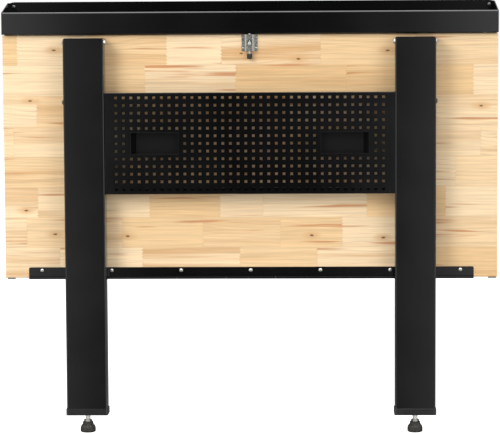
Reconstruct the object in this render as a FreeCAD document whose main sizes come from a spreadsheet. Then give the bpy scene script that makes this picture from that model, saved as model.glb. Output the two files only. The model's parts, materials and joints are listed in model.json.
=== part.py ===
import FreeCAD, Part
import Sketcher
import math
import os

# Folding workbench for a wall, shown folded. All lengths are millimetres.
# The wall is the plane Y = 0, the room is towards -Y, and +Z is up. The origin
# is the centre of the four wall fixing holes in the two side posts.

doc = FreeCAD.newDocument("FoldingWorkbench")
sheet = doc.addObject("Spreadsheet::Sheet", "Sizes")


class Size:
    """A length with the sheet expression that gives it."""

    def __init__(self, value, text):
        self.value = float(value)
        self.text = text

    def __add__(self, other):
        other = as_size(other)
        return Size(self.value + other.value, "(%s + %s)" % (self.text, other.text))

    def __sub__(self, other):
        other = as_size(other)
        return Size(self.value - other.value, "(%s - %s)" % (self.text, other.text))

    def __mul__(self, other):
        other = as_size(other)
        return Size(self.value * other.value, "(%s * %s)" % (self.text, other.text))

    def __truediv__(self, other):
        other = as_size(other)
        return Size(self.value / other.value, "(%s / %s)" % (self.text, other.text))

    def __neg__(self):
        return Size(-self.value, "(0 - %s)" % self.text)

    def __rsub__(self, other):
        return as_size(other) - self

    def __rmul__(self, other):
        return self * other


def as_size(thing):
    """A plain number as a size; a size stays as it is."""
    if isinstance(thing, Size):
        return thing
    return Size(thing, "%.9g" % thing)


cells_used = []


def size(name, value):
    """One driving dimension: a cell of the sheet with an alias."""
    cells_used.append(name)
    row = len(cells_used)
    sheet.set("A%d" % row, name)
    sheet.set("B%d" % row, "%.9g" % value)
    sheet.setAlias("B%d" % row, name)
    return Size(value, "Sizes.%s" % name)


nought = Size(0, "0")
counter = []


def new(kind, name):
    """A document object with a name of its own."""
    counter.append(name)
    return doc.addObject(kind, "%s_%d" % (name, len(counter)))


def bind(obj, prop, amount):
    """Ties one property to the sheet."""
    obj.setExpression(prop, as_size(amount).text)


def put(obj, across, out, up):
    """Ties the place of an object to the sheet."""
    bind(obj, "Placement.Base.x", across)
    bind(obj, "Placement.Base.y", out)
    bind(obj, "Placement.Base.z", up)


def block(x0, x1, y0, y1, z0, z1):
    """A square block between two corners."""
    solid = new("Part::Box", "Block")
    bind(solid, "Length", as_size(x1) - x0)
    bind(solid, "Width", as_size(y1) - y0)
    bind(solid, "Height", as_size(z1) - z0)
    put(solid, x0, y0, z0)
    return solid


turns = {
    "X": FreeCAD.Rotation(FreeCAD.Vector(0, 1, 0), 90),
    "Y": FreeCAD.Rotation(FreeCAD.Vector(1, 0, 0), -90),
    "Z": FreeCAD.Rotation(),
}


def rod(axis, x, y, z, radius, length):
    """A round bar that starts at a point and runs towards + along an axis."""
    solid = new("Part::Cylinder", "Rod")
    solid.Placement = FreeCAD.Placement(FreeCAD.Vector(), turns[axis])
    bind(solid, "Radius", radius)
    bind(solid, "Height", length)
    put(solid, x, y, z)
    return solid


def cone(axis, x, y, z, radius_1, radius_2, length):
    """A tapered round piece from radius_1 to radius_2."""
    solid = new("Part::Cone", "Cone")
    solid.Placement = FreeCAD.Placement(FreeCAD.Vector(), turns[axis])
    bind(solid, "Radius1", radius_1)
    bind(solid, "Radius2", radius_2)
    bind(solid, "Height", length)
    put(solid, x, y, z)
    return solid


def hexagon(axis, x, y, z, radius, length):
    """A six-sided prism, radius across its corners."""
    solid = new("Part::Prism", "Hexagon")
    solid.Polygon = 6
    solid.Placement = FreeCAD.Placement(FreeCAD.Vector(), turns[axis])
    bind(solid, "Circumradius", radius)
    bind(solid, "Height", length)
    put(solid, x, y, z)
    return solid


def joined(pieces):
    """Several solids made one."""
    solid = new("Part::MultiFuse", "Joined")
    solid.Shapes = pieces
    solid.Refine = True
    return solid


def together(pieces):
    """Several separate solids in one object."""
    group = new("Part::Compound", "Group")
    group.Links = pieces
    return group


def cut(base, tools):
    """A solid with others taken out of it."""
    solid = new("Part::Cut", "Cut")
    solid.Base = base
    solid.Tool = together(tools)
    return solid


nodes = []


def node(name, obj):
    """Names a finished sub-part."""
    obj.Label = name
    nodes.append(obj)
    return obj


def origin_plane(body, role):
    return [plane for plane in body.Origin.OriginFeatures if plane.Role == role][0]


def draw(sketch, points):
    """A closed outline of straight sides with every corner held by two bound distances."""
    corners = [FreeCAD.Vector(as_size(a).value, as_size(b).value, 0) for a, b in points]
    count = len(points)
    for i in range(count):
        sketch.addGeometry(Part.LineSegment(corners[i], corners[(i + 1) % count]), False)
    for i in range(count):
        sketch.addConstraint(Sketcher.Constraint("Coincident", (i - 1) % count, 2, i, 1))
        for kind, amount in zip(("DistanceX", "DistanceY"), points[i]):
            amount = as_size(amount)
            place = sketch.addConstraint(Sketcher.Constraint(kind, -1, 1, i, 1, amount.value))
            bind(sketch, "Constraints[%d]" % place, amount)


def profile(role, points, start, length):
    """A body padded from an outline, starting at a plane and growing by a length.

    On XY_Plane an outline is (x, y) and grows towards +Z. On YZ_Plane it is (y, z)
    and grows towards +X.
    """
    body = new("PartDesign::Body", "Body")
    sketch = body.newObject("Sketcher::SketchObject", "%sOutline" % body.Name)
    sketch.AttachmentSupport = [(origin_plane(body, role), "")]
    sketch.MapMode = "FlatFace"
    bind(sketch, "AttachmentOffset.Base.z", start)
    draw(sketch, points)
    pad = body.newObject("PartDesign::Pad", "%sPad" % body.Name)
    pad.Profile = sketch
    bind(pad, "Length", length)
    return body


grow_vectors = {"XY_Plane": FreeCAD.Vector(0, 0, 1), "YZ_Plane": FreeCAD.Vector(1, 0, 0)}
edge_tolerance_share = 0.001


def round_corners(body, role, corners, radius):
    """Rounds the long edges of a padded body at the named corners of its outline."""
    doc.recompute()
    wanted = [(as_size(a).value, as_size(b).value) for a, b in corners]
    names = []
    for number, edge in enumerate(body.Tip.Shape.Edges, 1):
        if edge.Curve.TypeId != "Part::GeomLine":
            continue
        ends = edge.Vertexes[-1].Point - edge.Vertexes[0].Point
        if ends.cross(grow_vectors[role]).Length > ends.Length * edge_tolerance_share:
            continue
        point = edge.Vertexes[0].Point
        here = (point.x, point.y) if role == "XY_Plane" else (point.y, point.z)
        if any(math.dist(here, place) < ends.Length * edge_tolerance_share for place in wanted):
            names.append("Edge%d" % number)
    fillet = body.newObject("PartDesign::Fillet", "%sFillet" % body.Name)
    fillet.Base = (body.Group[-2], names)
    bind(fillet, "Radius", radius)
    body.Tip = fillet
    return body


# Wooden top
top_width = size("top_width", 1200)
top_height = size("top_height", 592)
top_thickness = size("top_thickness", 30)
top_chamfer = size("top_chamfer", 2)

# Tray over the top
tray_depth = size("tray_depth", 150)
tray_overhang = size("tray_overhang", 16)
tray_gap = size("tray_gap", 4)
tray_sheet = size("tray_sheet", 2)
tray_front_height = size("tray_front_height", 50.5)
tray_back_height = size("tray_back_height", 78)
tray_bend_radius = size("tray_bend_radius", 2)
hem_height = size("hem_height", 12)
hem_space = size("hem_space", 0.5)
end_level_depth = size("end_level_depth", 22)
end_corner_radius = size("end_corner_radius", 12)

# Side posts
post_width = size("post_width", 20)
post_sheet = size("post_sheet", 2)
post_drop = size("post_drop", 6)
post_bend_radius = size("post_bend_radius", 1.5)
rest_gap = size("rest_gap", 1)
fixing_low = size("fixing_low", 60)
fixing_rise = size("fixing_rise", 500)
fixing_hole_radius = size("fixing_hole_radius", 4.5)
access_hole_radius = size("access_hole_radius", 8)

# Bottom rail
rail_sheet = size("rail_sheet", 2.5)
rail_flange_height = size("rail_flange_height", 35)
rail_tab_height = size("rail_tab_height", 25)
rail_tab_inset = size("rail_tab_inset", 9)
rail_setback = size("rail_setback", 24)
rail_corner_depth = size("rail_corner_depth", 30)
rail_corner_gap = size("rail_corner_gap", 2)

# Clearances
fit_gap = size("fit_gap", 0.3)
running_gap = size("running_gap", 0.05)
overrun = size("overrun", 1)

# Continuous hinge
hinge_length = size("hinge_length", 1085)
knuckle_radius = size("knuckle_radius", 3)
knuckle_gap = size("knuckle_gap", 0.4)
hinge_pin_radius = size("hinge_pin_radius", 1.5)
leaf_sheet = size("leaf_sheet", 1.5)
leaf_height = size("leaf_height", 26)
leaf_depth = size("leaf_depth", 48)
leaf_relief = size("leaf_relief", 0.5)
leaf_corner_radius = size("leaf_corner_radius", 4)
hinge_screw_pitch = size("hinge_screw_pitch", 170)
hinge_screw_rise = size("hinge_screw_rise", 18)
wood_screw_radius = size("wood_screw_radius", 2.2)
wood_screw_length = size("wood_screw_length", 20)
wood_screw_head_radius = size("wood_screw_head_radius", 4.9)
wood_screw_head_height = size("wood_screw_head_height", 3)
rivet_radius = size("rivet_radius", 2.5)
rivet_head_radius = size("rivet_head_radius", 4.5)
rivet_head_height = size("rivet_head_height", 1.3)
rivet_setback = size("rivet_setback", 38)

# Legs
leg_width = size("leg_width", 98)
leg_span = size("leg_span", 700)
leg_drop = size("leg_drop", 8)
leg_length = size("leg_length", 912)
leg_sheet = size("leg_sheet", 1.5)
leg_bend_radius = size("leg_bend_radius", 3)
leg_top_radius = size("leg_top_radius", 7)
pivot_out = size("pivot_out", 28)
pivot_front = size("pivot_front", 26)
pivot_back = size("pivot_back", 20)
pivot_drop = size("pivot_drop", 11)

# Leg brackets, pivot bolts and nuts
bracket_sheet = size("bracket_sheet", 3)
bracket_side_gap = size("bracket_side_gap", 0.5)
bracket_radius = size("bracket_radius", 11)
bracket_tail = size("bracket_tail", 24)
bracket_screw_spread = size("bracket_screw_spread", 30)
bracket_screw_rise = size("bracket_screw_rise", 14)
bolt_radius = size("bolt_radius", 4)
bolt_head_radius = size("bolt_head_radius", 6.5)
bolt_head_height = size("bolt_head_height", 5)
nut_radius = size("nut_radius", 7.5)
nut_height = size("nut_height", 6)

# Stays with their hooks and catch pins
stay_drop = size("stay_drop", 143)
stay_forward = size("stay_forward", 8)
stay_sheet = size("stay_sheet", 4)
stay_width = size("stay_width", 16)
stay_inset = size("stay_inset", 2.5)
hook_radius = size("hook_radius", 14)
notch_clearance = size("notch_clearance", 0.9)
catch_back = size("catch_back", 12)
catch_pin_radius = size("catch_pin_radius", 4)
catch_sheet = size("catch_sheet", 3)
catch_plate_height = size("catch_plate_height", 36)
catch_plate_width = size("catch_plate_width", 26)
catch_nose_radius = size("catch_nose_radius", 8)

# Tool panel
hole_pitch = size("hole_pitch", 18.4)
hole_side = size("hole_side", 6.5)
panel_edge = size("panel_edge", 12)
panel_sheet = size("panel_sheet", 1.2)
panel_flange = size("panel_flange", 30)
panel_lip = size("panel_lip", 13)
panel_top_lip = size("panel_top_lip", 10)
panel_bend_radius = size("panel_bend_radius", 1.8)
panel_set_back = size("panel_set_back", 6)
panel_drop = size("panel_drop", 131.5)
small_bolt_radius = size("small_bolt_radius", 3)
small_head_radius = size("small_head_radius", 5)
small_head_height = size("small_head_height", 3.5)
small_nut_radius = size("small_nut_radius", 5.8)
small_nut_height = size("small_nut_height", 4)

# Hand recesses
recess_width = size("recess_width", 114)
recess_height = size("recess_height", 51)
recess_depth = size("recess_depth", 24)
recess_wall = size("recess_wall", 2)
recess_rim = size("recess_rim", 4)
recess_slope = size("recess_slope", 12)

# Leg caps and feet
cap_wall = size("cap_wall", 2)
cap_height = size("cap_height", 16)
cap_floor = size("cap_floor", 3)
foot_plate_sheet = size("foot_plate_sheet", 4)
foot_boss_radius = size("foot_boss_radius", 11)
foot_boss_height = size("foot_boss_height", 12)
stud_radius = size("stud_radius", 6)
stud_length = size("stud_length", 67)
foot_gap = size("foot_gap", 18)
foot_height = size("foot_height", 26)
foot_radius = size("foot_radius", 18.75)
foot_neck_radius = size("foot_neck_radius", 12.5)
foot_shoulder = size("foot_shoulder", 13)
foot_edge = size("foot_edge", 2)
foot_nut_radius = size("foot_nut_radius", 10)
foot_nut_height = size("foot_nut_height", 5)

# Spring latch
latch_plate_width = size("latch_plate_width", 38.5)
latch_plate_height = size("latch_plate_height", 40)
latch_plate_drop = size("latch_plate_drop", 1)
latch_sheet = size("latch_sheet", 2)
latch_housing_width = size("latch_housing_width", 21)
latch_wall = size("latch_wall", 1.5)
latch_out = size("latch_out", 8.5)
latch_rod_radius = size("latch_rod_radius", 3)
latch_window_drop = size("latch_window_drop", 14)
latch_window_height = size("latch_window_height", 10.6)
latch_screw_spread = size("latch_screw_spread", 15.8)
latch_screw_high = size("latch_screw_high", 7.5)
latch_screw_low = size("latch_screw_low", 33)
latch_screw_head_radius = size("latch_screw_head_radius", 3)
latch_screw_head_height = size("latch_screw_head_height", 1.8)
latch_knob_radius = size("latch_knob_radius", 6.4)
latch_knob_height = size("latch_knob_height", 13)
latch_knob_drop = size("latch_knob_drop", 46)
latch_collar_radius = size("latch_collar_radius", 6)
latch_collar_height = size("latch_collar_height", 3)
keeper_slot_width = size("keeper_slot_width", 10)
keeper_slot_depth = size("keeper_slot_depth", 8.4)
latch_tip_gap = size("latch_tip_gap", 1.5)
spring_wire_radius = size("spring_wire_radius", 0.5)
spring_end_gap = size("spring_end_gap", 0.2)

knuckle_count = 9
hinge_screw_count = 7
hole_columns = 36
hole_rows = 13
recess_columns = 7
recess_rows = 3
recess_middle_column = 5
spring_turns = 5

# Main levels and planes, worked out from the sizes
axis_z = -(fixing_low + fixing_rise / 2)
face_y = tray_overhang - tray_depth
rear_y = face_y + top_thickness
axis_y = face_y - knuckle_radius
top_z = axis_z + top_height
tray_z = top_z + tray_gap
half_width = top_width / 2
tray_rear_y = -post_sheet
tray_front_y = -tray_depth


def worktop():
    """Glued wooden board with softened edges, hinged along its lower edge."""
    board = profile("YZ_Plane", [
        (face_y, axis_z + top_chamfer), (face_y + top_chamfer, axis_z), (rear_y - top_chamfer, axis_z),
        (rear_y, axis_z + top_chamfer), (rear_y, top_z - top_chamfer), (rear_y - top_chamfer, top_z),
        (face_y + top_chamfer, top_z), (face_y, top_z - top_chamfer)], -half_width, top_width)
    node("worktop", board)


def tray():
    """Folded sheet trough: front wall with a hem, floor and taller back wall, and two end plates."""
    inner_front = tray_front_y + tray_sheet
    hem_in = inner_front + hem_space
    hem_out = hem_in + tray_sheet
    front_top = tray_z + tray_front_height
    back_top = tray_z + tray_back_height
    outline = [
        (tray_front_y, tray_z), (tray_rear_y, tray_z), (tray_rear_y, back_top),
        (tray_rear_y - tray_sheet, back_top), (tray_rear_y - tray_sheet, tray_z + tray_sheet),
        (inner_front, tray_z + tray_sheet), (inner_front, front_top - tray_sheet),
        (hem_in, front_top - tray_sheet), (hem_in, front_top - hem_height),
        (hem_out, front_top - hem_height), (hem_out, front_top), (tray_front_y, front_top)]
    trough = profile("YZ_Plane", outline, tray_sheet - half_width, top_width - 2 * tray_sheet)
    round_corners(trough, "YZ_Plane", [(tray_front_y, tray_z), (tray_rear_y, tray_z),
                                       (hem_out, front_top), (tray_front_y, front_top)], tray_bend_radius)
    keeper_slot = block(-keeper_slot_width / 2, keeper_slot_width / 2, latch_y - keeper_slot_depth / 2,
                        latch_y + keeper_slot_depth / 2, tray_z - overrun, tray_z + tray_sheet + overrun)
    screw_holes = [rod("Z", side * tray_screw_x, latch_y, tray_z - overrun, small_bolt_radius,
                       tray_sheet + 2 * overrun) for side in (-1, 1)]
    floor_holes = [rod("Z", side * post_bolt_x, place, tray_z - overrun, small_bolt_radius,
                       tray_sheet + 2 * overrun) for side in (-1, 1) for place in post_bolt_places]
    back_holes = [rod("Y", side * fixing_x, tray_rear_y - tray_sheet - overrun, tray_bolt_z,
                      small_bolt_radius, tray_sheet + 2 * overrun) for side in (-1, 1)]
    node("tray", cut(trough, [keeper_slot] + screw_holes + floor_holes + back_holes))

    level_y = tray_rear_y - end_level_depth
    plate = [(tray_front_y, tray_z), (tray_rear_y, tray_z), (tray_rear_y, back_top),
             (level_y, back_top), (tray_front_y, front_top)]
    for name, start in (("tray_end_left", -half_width), ("tray_end_right", half_width - tray_sheet)):
        end = profile("YZ_Plane", plate, start, tray_sheet)
        round_corners(end, "YZ_Plane", [(level_y, back_top)], end_corner_radius)
        node(name, end)


def mirrored_outline(side, points):
    return [(side * a, b) for a, b in points]


def side_posts():
    """Channel posts that stand on the wall, open inwards, with a tongue behind the tray."""
    post_bottom = axis_z - post_drop
    inner = half_width - post_width
    for name, side in (("side_post_left", -1), ("side_post_right", 1)):
        outline = mirrored_outline(side, [
            (inner, 0), (half_width, 0), (half_width, post_front_y), (inner, post_front_y),
            (inner, post_front_y + post_sheet), (half_width - post_sheet, post_front_y + post_sheet),
            (half_width - post_sheet, -post_sheet), (inner, -post_sheet)])
        channel = profile("XY_Plane", outline, post_bottom, tray_z - post_bottom)
        round_corners(channel, "XY_Plane", mirrored_outline(side, [
            (half_width, 0), (half_width, post_front_y)]), post_bend_radius)
        low_x, high_x = sorted([side * inner, side * (half_width - post_sheet)], key=lambda s: s.value)
        cap = block(low_x, high_x, post_front_y + post_sheet, -post_sheet, tray_z - post_sheet, tray_z)
        low_x, high_x = sorted([side * inner, side * half_width], key=lambda s: s.value)
        tongue = block(low_x, high_x, -post_sheet, 0, tray_z - post_sheet, tray_z + tray_back_height)
        holes = []
        for level in fixing_levels:
            holes.append(rod("Y", side * fixing_x, -post_sheet - overrun, level, fixing_hole_radius,
                             post_sheet + 2 * overrun))
            holes.append(rod("Y", side * fixing_x, post_front_y - overrun, level, access_hole_radius,
                             post_sheet + 2 * overrun))
        holes.append(rod("Y", side * fixing_x, -post_sheet - overrun, tray_bolt_z, small_bolt_radius,
                         post_sheet + 2 * overrun))
        for place in post_bolt_places:
            holes.append(rod("Z", side * post_bolt_x, place, tray_z - post_sheet - overrun,
                             small_bolt_radius, post_sheet + 2 * overrun))
        for place in rail_bolt_places:
            start = side * half_width - (post_sheet + overrun if side > 0 else overrun)
            holes.append(rod("X", start, place, rail_bolt_z, small_bolt_radius,
                             post_sheet + 2 * overrun))
        node(name, cut(joined([channel, cap, tongue]), holes))


def bottom_rail():
    """Angle between the posts that carries the hinge, its front corners cut back to an end tab."""
    inner = half_width - post_width - fit_gap
    front = axis_y + rail_setback
    corner_back = front + rail_corner_depth
    rail_top = axis_z - knuckle_radius
    rail_bottom = rail_top - rail_sheet
    angle = profile("YZ_Plane", [
        (front, rail_bottom), (0, rail_bottom), (0, axis_z + rail_flange_height),
        (-rail_sheet, axis_z + rail_flange_height), (-rail_sheet, rail_top), (front, rail_top)],
        -inner, 2 * inner)
    pieces = [angle]
    web = half_width - post_sheet
    for side in (-1, 1):
        tongue = sorted([side * (inner - overrun), side * web], key=lambda s: s.value)
        tab = sorted([side * (web - rail_sheet), side * web], key=lambda s: s.value)
        near, far = corner_back, -rail_tab_inset
        pieces.append(block(tongue[0], tongue[1], near, far, rail_bottom, rail_top))
        pieces.append(block(tab[0], tab[1], near, far, rail_bottom, axis_z + rail_tab_height))
    holes = [rod("X", side * web - (rail_sheet + overrun if side > 0 else overrun), place, rail_bolt_z,
                 small_bolt_radius, rail_sheet + 2 * overrun)
             for side in (-1, 1) for place in rail_bolt_places]
    holes += [rod("Z", place, rivet_y, rail_bottom - overrun, rivet_radius, rail_sheet + 2 * overrun)
              for place in hinge_screw_places]
    corner_from = hinge_length / 2 + rail_corner_gap
    for side in (-1, 1):
        corner = sorted([side * corner_from, side * half_width], key=lambda s: s.value)
        holes.append(block(corner[0], corner[1], front - overrun, corner_back, rail_bottom - overrun,
                           rail_top + overrun))
    node("bottom_rail", cut(joined(pieces), holes))


def small_bolt(axis, sign, x, y, z, grip):
    """Button-head bolt. Its head lies on the named point and its shank runs on by the grip and a nut."""
    shank = grip + small_nut_height
    place = {"X": x, "Y": y, "Z": z}
    if sign > 0:
        head_from = place[axis] - small_head_height
        shank_from = place[axis]
    else:
        head_from = place[axis]
        shank_from = place[axis] - shank
    spots = []
    for start in (head_from, shank_from):
        spot = dict(place)
        spot[axis] = start
        spots.append([spot[letter] for letter in "XYZ"])
    head = rod(axis, *spots[0], small_head_radius, small_head_height)
    return joined([head, rod(axis, *spots[1], small_bolt_radius, shank)])


def small_nut(axis, x, y, z):
    """Hexagon nut that starts at the named point and runs towards + along its axis."""
    return cut(hexagon(axis, x, y, z, small_nut_radius, small_nut_height),
               [rod(axis, x, y, z, small_bolt_radius, small_nut_height)])


def frame_fasteners():
    """Bolts that hold the tray on the posts and the rail between them."""
    tray_bolts = []
    tray_nuts = []
    for side in (-1, 1):
        for place in post_bolt_places:
            tray_bolts.append(small_bolt("Z", -1, side * post_bolt_x, place, tray_z + tray_sheet,
                                         tray_sheet + post_sheet))
            tray_nuts.append(small_nut("Z", side * post_bolt_x, place,
                                       tray_z - post_sheet - small_nut_height))
        back_face = tray_rear_y - tray_sheet
        head = rod("Y", side * fixing_x, back_face - small_head_height, tray_bolt_z, small_head_radius,
                   small_head_height)
        shank = rod("Y", side * fixing_x, back_face, tray_bolt_z, small_bolt_radius,
                    tray_sheet + post_sheet)
        tray_bolts.append(joined([head, shank]))
    node("tray_bolts", together(tray_bolts))
    node("tray_nuts", together(tray_nuts))

    rail_bolts = []
    rail_nuts = []
    web = half_width - post_sheet - rail_sheet
    for place in rail_bolt_places:
        rail_bolts.append(small_bolt("X", 1, -half_width, place, rail_bolt_z, post_sheet + rail_sheet))
        rail_bolts.append(small_bolt("X", -1, half_width, place, rail_bolt_z, post_sheet + rail_sheet))
        rail_nuts.append(small_nut("X", -web, place, rail_bolt_z))
        rail_nuts.append(small_nut("X", web - small_nut_height, place, rail_bolt_z))
    node("rail_bolts", together(rail_bolts))
    node("rail_nuts", together(rail_nuts))

    screws = []
    nuts = []
    for side in (-1, 1):
        screws.append(joined([
            cone("Z", side * tray_screw_x, latch_y, tray_z - tray_screw_head_height,
                 small_head_radius - tray_screw_taper, small_head_radius, tray_screw_head_height),
            rod("Z", side * tray_screw_x, latch_y, tray_z, small_bolt_radius,
                tray_sheet + small_nut_height)]))
        nuts.append(small_nut("Z", side * tray_screw_x, latch_y, tray_z + tray_sheet))
    node("tray_stop_screws", together(screws))
    node("tray_stop_nuts", together(nuts))


def hinge():
    """Continuous hinge: a leaf on the rail, a leaf on the board and one long pin."""
    step = hinge_length / knuckle_count
    half = hinge_length / 2
    relief = knuckle_radius + leaf_relief
    fixed = [block(-half, half, axis_y + relief, axis_y + leaf_depth, axis_z - knuckle_radius,
                   axis_z - knuckle_radius + leaf_sheet)]
    moving = [block(-half, half, face_y - leaf_sheet, face_y, axis_z + relief,
                    axis_z + leaf_height - leaf_corner_radius),
              block(leaf_corner_radius - half, half - leaf_corner_radius, face_y - leaf_sheet, face_y,
                    axis_z + relief, axis_z + leaf_height)]
    moving += [rod("Y", side * (half - leaf_corner_radius), face_y - leaf_sheet,
                   axis_z + leaf_height - leaf_corner_radius, leaf_corner_radius, leaf_sheet)
               for side in (-1, 1)]
    fixed_bores = []
    moving_bores = []
    for number in range(knuckle_count):
        start = number * step - half + knuckle_gap / 2
        length = step - knuckle_gap
        barrel = rod("X", start, axis_y, axis_z, knuckle_radius, length)
        bore = rod("X", start - overrun, axis_y, axis_z, hinge_pin_radius + running_gap,
                   length + 2 * overrun)
        if number % 2 == 0:
            fixed.append(barrel)
            fixed.append(block(start, start + length, axis_y, axis_y + relief + overrun,
                               axis_z - knuckle_radius, axis_z - knuckle_radius + leaf_sheet))
            fixed_bores.append(bore)
        else:
            moving.append(barrel)
            moving.append(block(start, start + length, face_y - leaf_sheet, face_y, axis_z,
                                axis_z + relief + overrun))
            moving_bores.append(bore)
    holes = [rod("Z", place, rivet_y, axis_z - knuckle_radius - overrun, rivet_radius,
                 leaf_sheet + 2 * overrun) for place in hinge_screw_places]
    node("hinge_fixed_leaf", cut(joined(fixed), fixed_bores + holes))
    holes = [rod("Y", place, face_y - leaf_sheet - overrun, axis_z + hinge_screw_rise, wood_screw_radius,
                 leaf_sheet + 2 * overrun) for place in hinge_screw_places]
    node("hinge_moving_leaf", cut(joined(moving), moving_bores + holes))
    node("hinge_pin", rod("X", -half, axis_y, axis_z, hinge_pin_radius, hinge_length))

    rivets = []
    under = axis_z - knuckle_radius - rail_sheet
    for place in hinge_screw_places:
        rivets.append(joined([
            rod("Z", place, rivet_y, under - rivet_head_height, rivet_head_radius, rivet_head_height),
            rod("Z", place, rivet_y, under, rivet_radius, rail_sheet + leaf_sheet)]))
    node("hinge_rivets", together(rivets))
    node("hinge_screws", together([
        wood_screw(place, face_y - leaf_sheet, axis_z + hinge_screw_rise) for place in hinge_screw_places]))


def wood_screw(x, y, z):
    """Round-head screw driven into the board from the front; its head lies on the named point."""
    neck = wood_screw_head_height * head_neck_share
    return joined([
        cone("Y", x, y - wood_screw_head_height, z, wood_screw_head_radius * head_crown_share,
             wood_screw_head_radius, wood_screw_head_height - neck),
        rod("Y", x, y - neck, z, wood_screw_head_radius, neck),
        rod("Y", x, y, z, wood_screw_radius, wood_screw_length)])


def leg(name, side):
    """Upright channel, open towards the board, with rounded top corners and bolt holes."""
    near, far = side * leg_span / 2, side * (leg_span / 2 + leg_width)
    sheet_in = side * leg_sheet
    outline = [(near, leg_back_y), (near, leg_front_y), (far, leg_front_y), (far, leg_back_y),
               (far - sheet_in, leg_back_y), (far - sheet_in, leg_front_y + leg_sheet),
               (near + sheet_in, leg_front_y + leg_sheet), (near + sheet_in, leg_back_y)]
    channel = profile("XY_Plane", outline, leg_bottom_z, leg_length)
    round_corners(channel, "XY_Plane", [(near, leg_front_y), (far, leg_front_y)], leg_bend_radius)
    left, right = (far, near) if side < 0 else (near, far)
    corners = []
    for centre, corner_from, corner_to in (
            (left + leg_top_radius, left - overrun, left + leg_top_radius),
            (right - leg_top_radius, right - leg_top_radius, right + overrun)):
        corner = block(corner_from, corner_to, leg_front_y - overrun, leg_back_y + overrun,
                       leg_top_z - leg_top_radius, leg_top_z + overrun)
        corners.append(cut(corner, [rod("Y", centre, leg_front_y - 2 * overrun,
                                        leg_top_z - leg_top_radius, leg_top_radius,
                                        leg_back_y - leg_front_y + 4 * overrun)]))
    through = leg_width + 2 * overrun
    outer_from = left - overrun if side < 0 else right - leg_sheet - overrun
    holes = [rod("X", left - overrun, pivot_y, pivot_z, bolt_radius, through),
             rod("X", outer_from, stay_y, stay_z, bolt_radius, leg_sheet + 2 * overrun)]
    for level in panel_bolt_levels:
        start = near - overrun if side > 0 else near - leg_sheet - overrun
        holes.append(rod("X", start, panel_bolt_y, level, small_bolt_radius, leg_sheet + 2 * overrun))
    node(name, cut(channel, corners + holes))


def leg_bracket(name, side):
    """Bent bracket on the board whose two ears carry a leg."""
    middle = side * leg_middle
    half = leg_width / 2 - leg_sheet - bracket_side_gap
    low, high = pivot_z - bracket_tail, pivot_z + bracket_radius
    base = block(middle - half, middle + half, face_y - bracket_sheet, face_y, low, high)
    pieces = [base]
    for hand in (-1, 1):
        start = middle - half if hand < 0 else middle + half - bracket_sheet
        ear = profile("YZ_Plane", [
            (face_y, low), (face_y, high), (pivot_y, high), (pivot_y - bracket_radius, pivot_z)],
            start, bracket_sheet)
        pieces.append(ear)
        pieces.append(rod("X", start, pivot_y, pivot_z, bracket_radius, bracket_sheet))
    bore = rod("X", middle - half - overrun, pivot_y, pivot_z, bolt_radius + running_gap,
               2 * half + 2 * overrun)
    holes = [rod("Y", middle + hand * bracket_screw_spread, face_y - bracket_sheet - overrun,
                 pivot_z - rise, wood_screw_radius, bracket_sheet + 2 * overrun)
             for hand in (-1, 1) for rise in (nought, bracket_screw_rise)]
    node(name, cut(joined(pieces), [bore] + holes))


def bracket_screws():
    screws = [wood_screw(side * leg_middle + hand * bracket_screw_spread, face_y - bracket_sheet,
                         pivot_z - rise)
              for side in (-1, 1) for hand in (-1, 1) for rise in (nought, bracket_screw_rise)]
    node("bracket_screws", together(screws))


def pivot_fasteners():
    """Short bolts through the leg walls and the bracket ears, with nuts inside."""
    bolts = []
    nuts = []
    shank = leg_sheet + bracket_side_gap + bracket_sheet + fit_gap + nut_height
    for side in (-1, 1):
        for hand in (-1, 1):
            wall = side * leg_middle + hand * leg_width / 2
            if hand < 0:
                head = hexagon("X", wall - bolt_head_height, pivot_y, pivot_z, bolt_head_radius,
                               bolt_head_height)
                bar = rod("X", wall, pivot_y, pivot_z, bolt_radius, shank)
                nut_from = wall + shank - nut_height
            else:
                head = hexagon("X", wall, pivot_y, pivot_z, bolt_head_radius, bolt_head_height)
                bar = rod("X", wall - shank, pivot_y, pivot_z, bolt_radius, shank)
                nut_from = wall - shank
            bolts.append(joined([head, bar]))
            nuts.append(cut(hexagon("X", nut_from, pivot_y, pivot_z, nut_radius, nut_height),
                            [rod("X", nut_from, pivot_y, pivot_z, bolt_radius, nut_height)]))
    node("pivot_bolts", together(bolts))
    node("pivot_nuts", together(nuts))


def stay_fasteners():
    """Black bolt through the outer wall of each leg, with a spacer and a nut, that a stay turns on."""
    bolts = []
    nuts = []
    spacers = []
    shank = leg_sheet + stay_inset + stay_sheet + fit_gap + nut_height
    spacer = stay_inset - fit_gap
    for side in (-1, 1):
        wall = side * (leg_span / 2 + leg_width)
        inner = wall - side * leg_sheet
        if side < 0:
            head = rod("X", wall - bolt_head_height, stay_y, stay_z, bolt_head_radius, bolt_head_height)
            bar = rod("X", wall, stay_y, stay_z, bolt_radius, shank)
            nut_from = wall + shank - nut_height
            spacer_from = inner
        else:
            head = rod("X", wall, stay_y, stay_z, bolt_head_radius, bolt_head_height)
            bar = rod("X", wall - shank, stay_y, stay_z, bolt_radius, shank)
            nut_from = wall - shank
            spacer_from = inner - spacer
        bolts.append(joined([head, bar]))
        nuts.append(cut(hexagon("X", nut_from, stay_y, stay_z, nut_radius, nut_height),
                        [rod("X", nut_from, stay_y, stay_z, bolt_radius, nut_height)]))
        spacers.append(cut(rod("X", spacer_from, stay_y, stay_z, nut_radius, spacer),
                           [rod("X", spacer_from, stay_y, stay_z, bolt_radius, spacer)]))
    node("stay_bolts", together(bolts))
    node("stay_nuts", together(nuts))
    node("stay_spacers", together(spacers))


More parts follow.
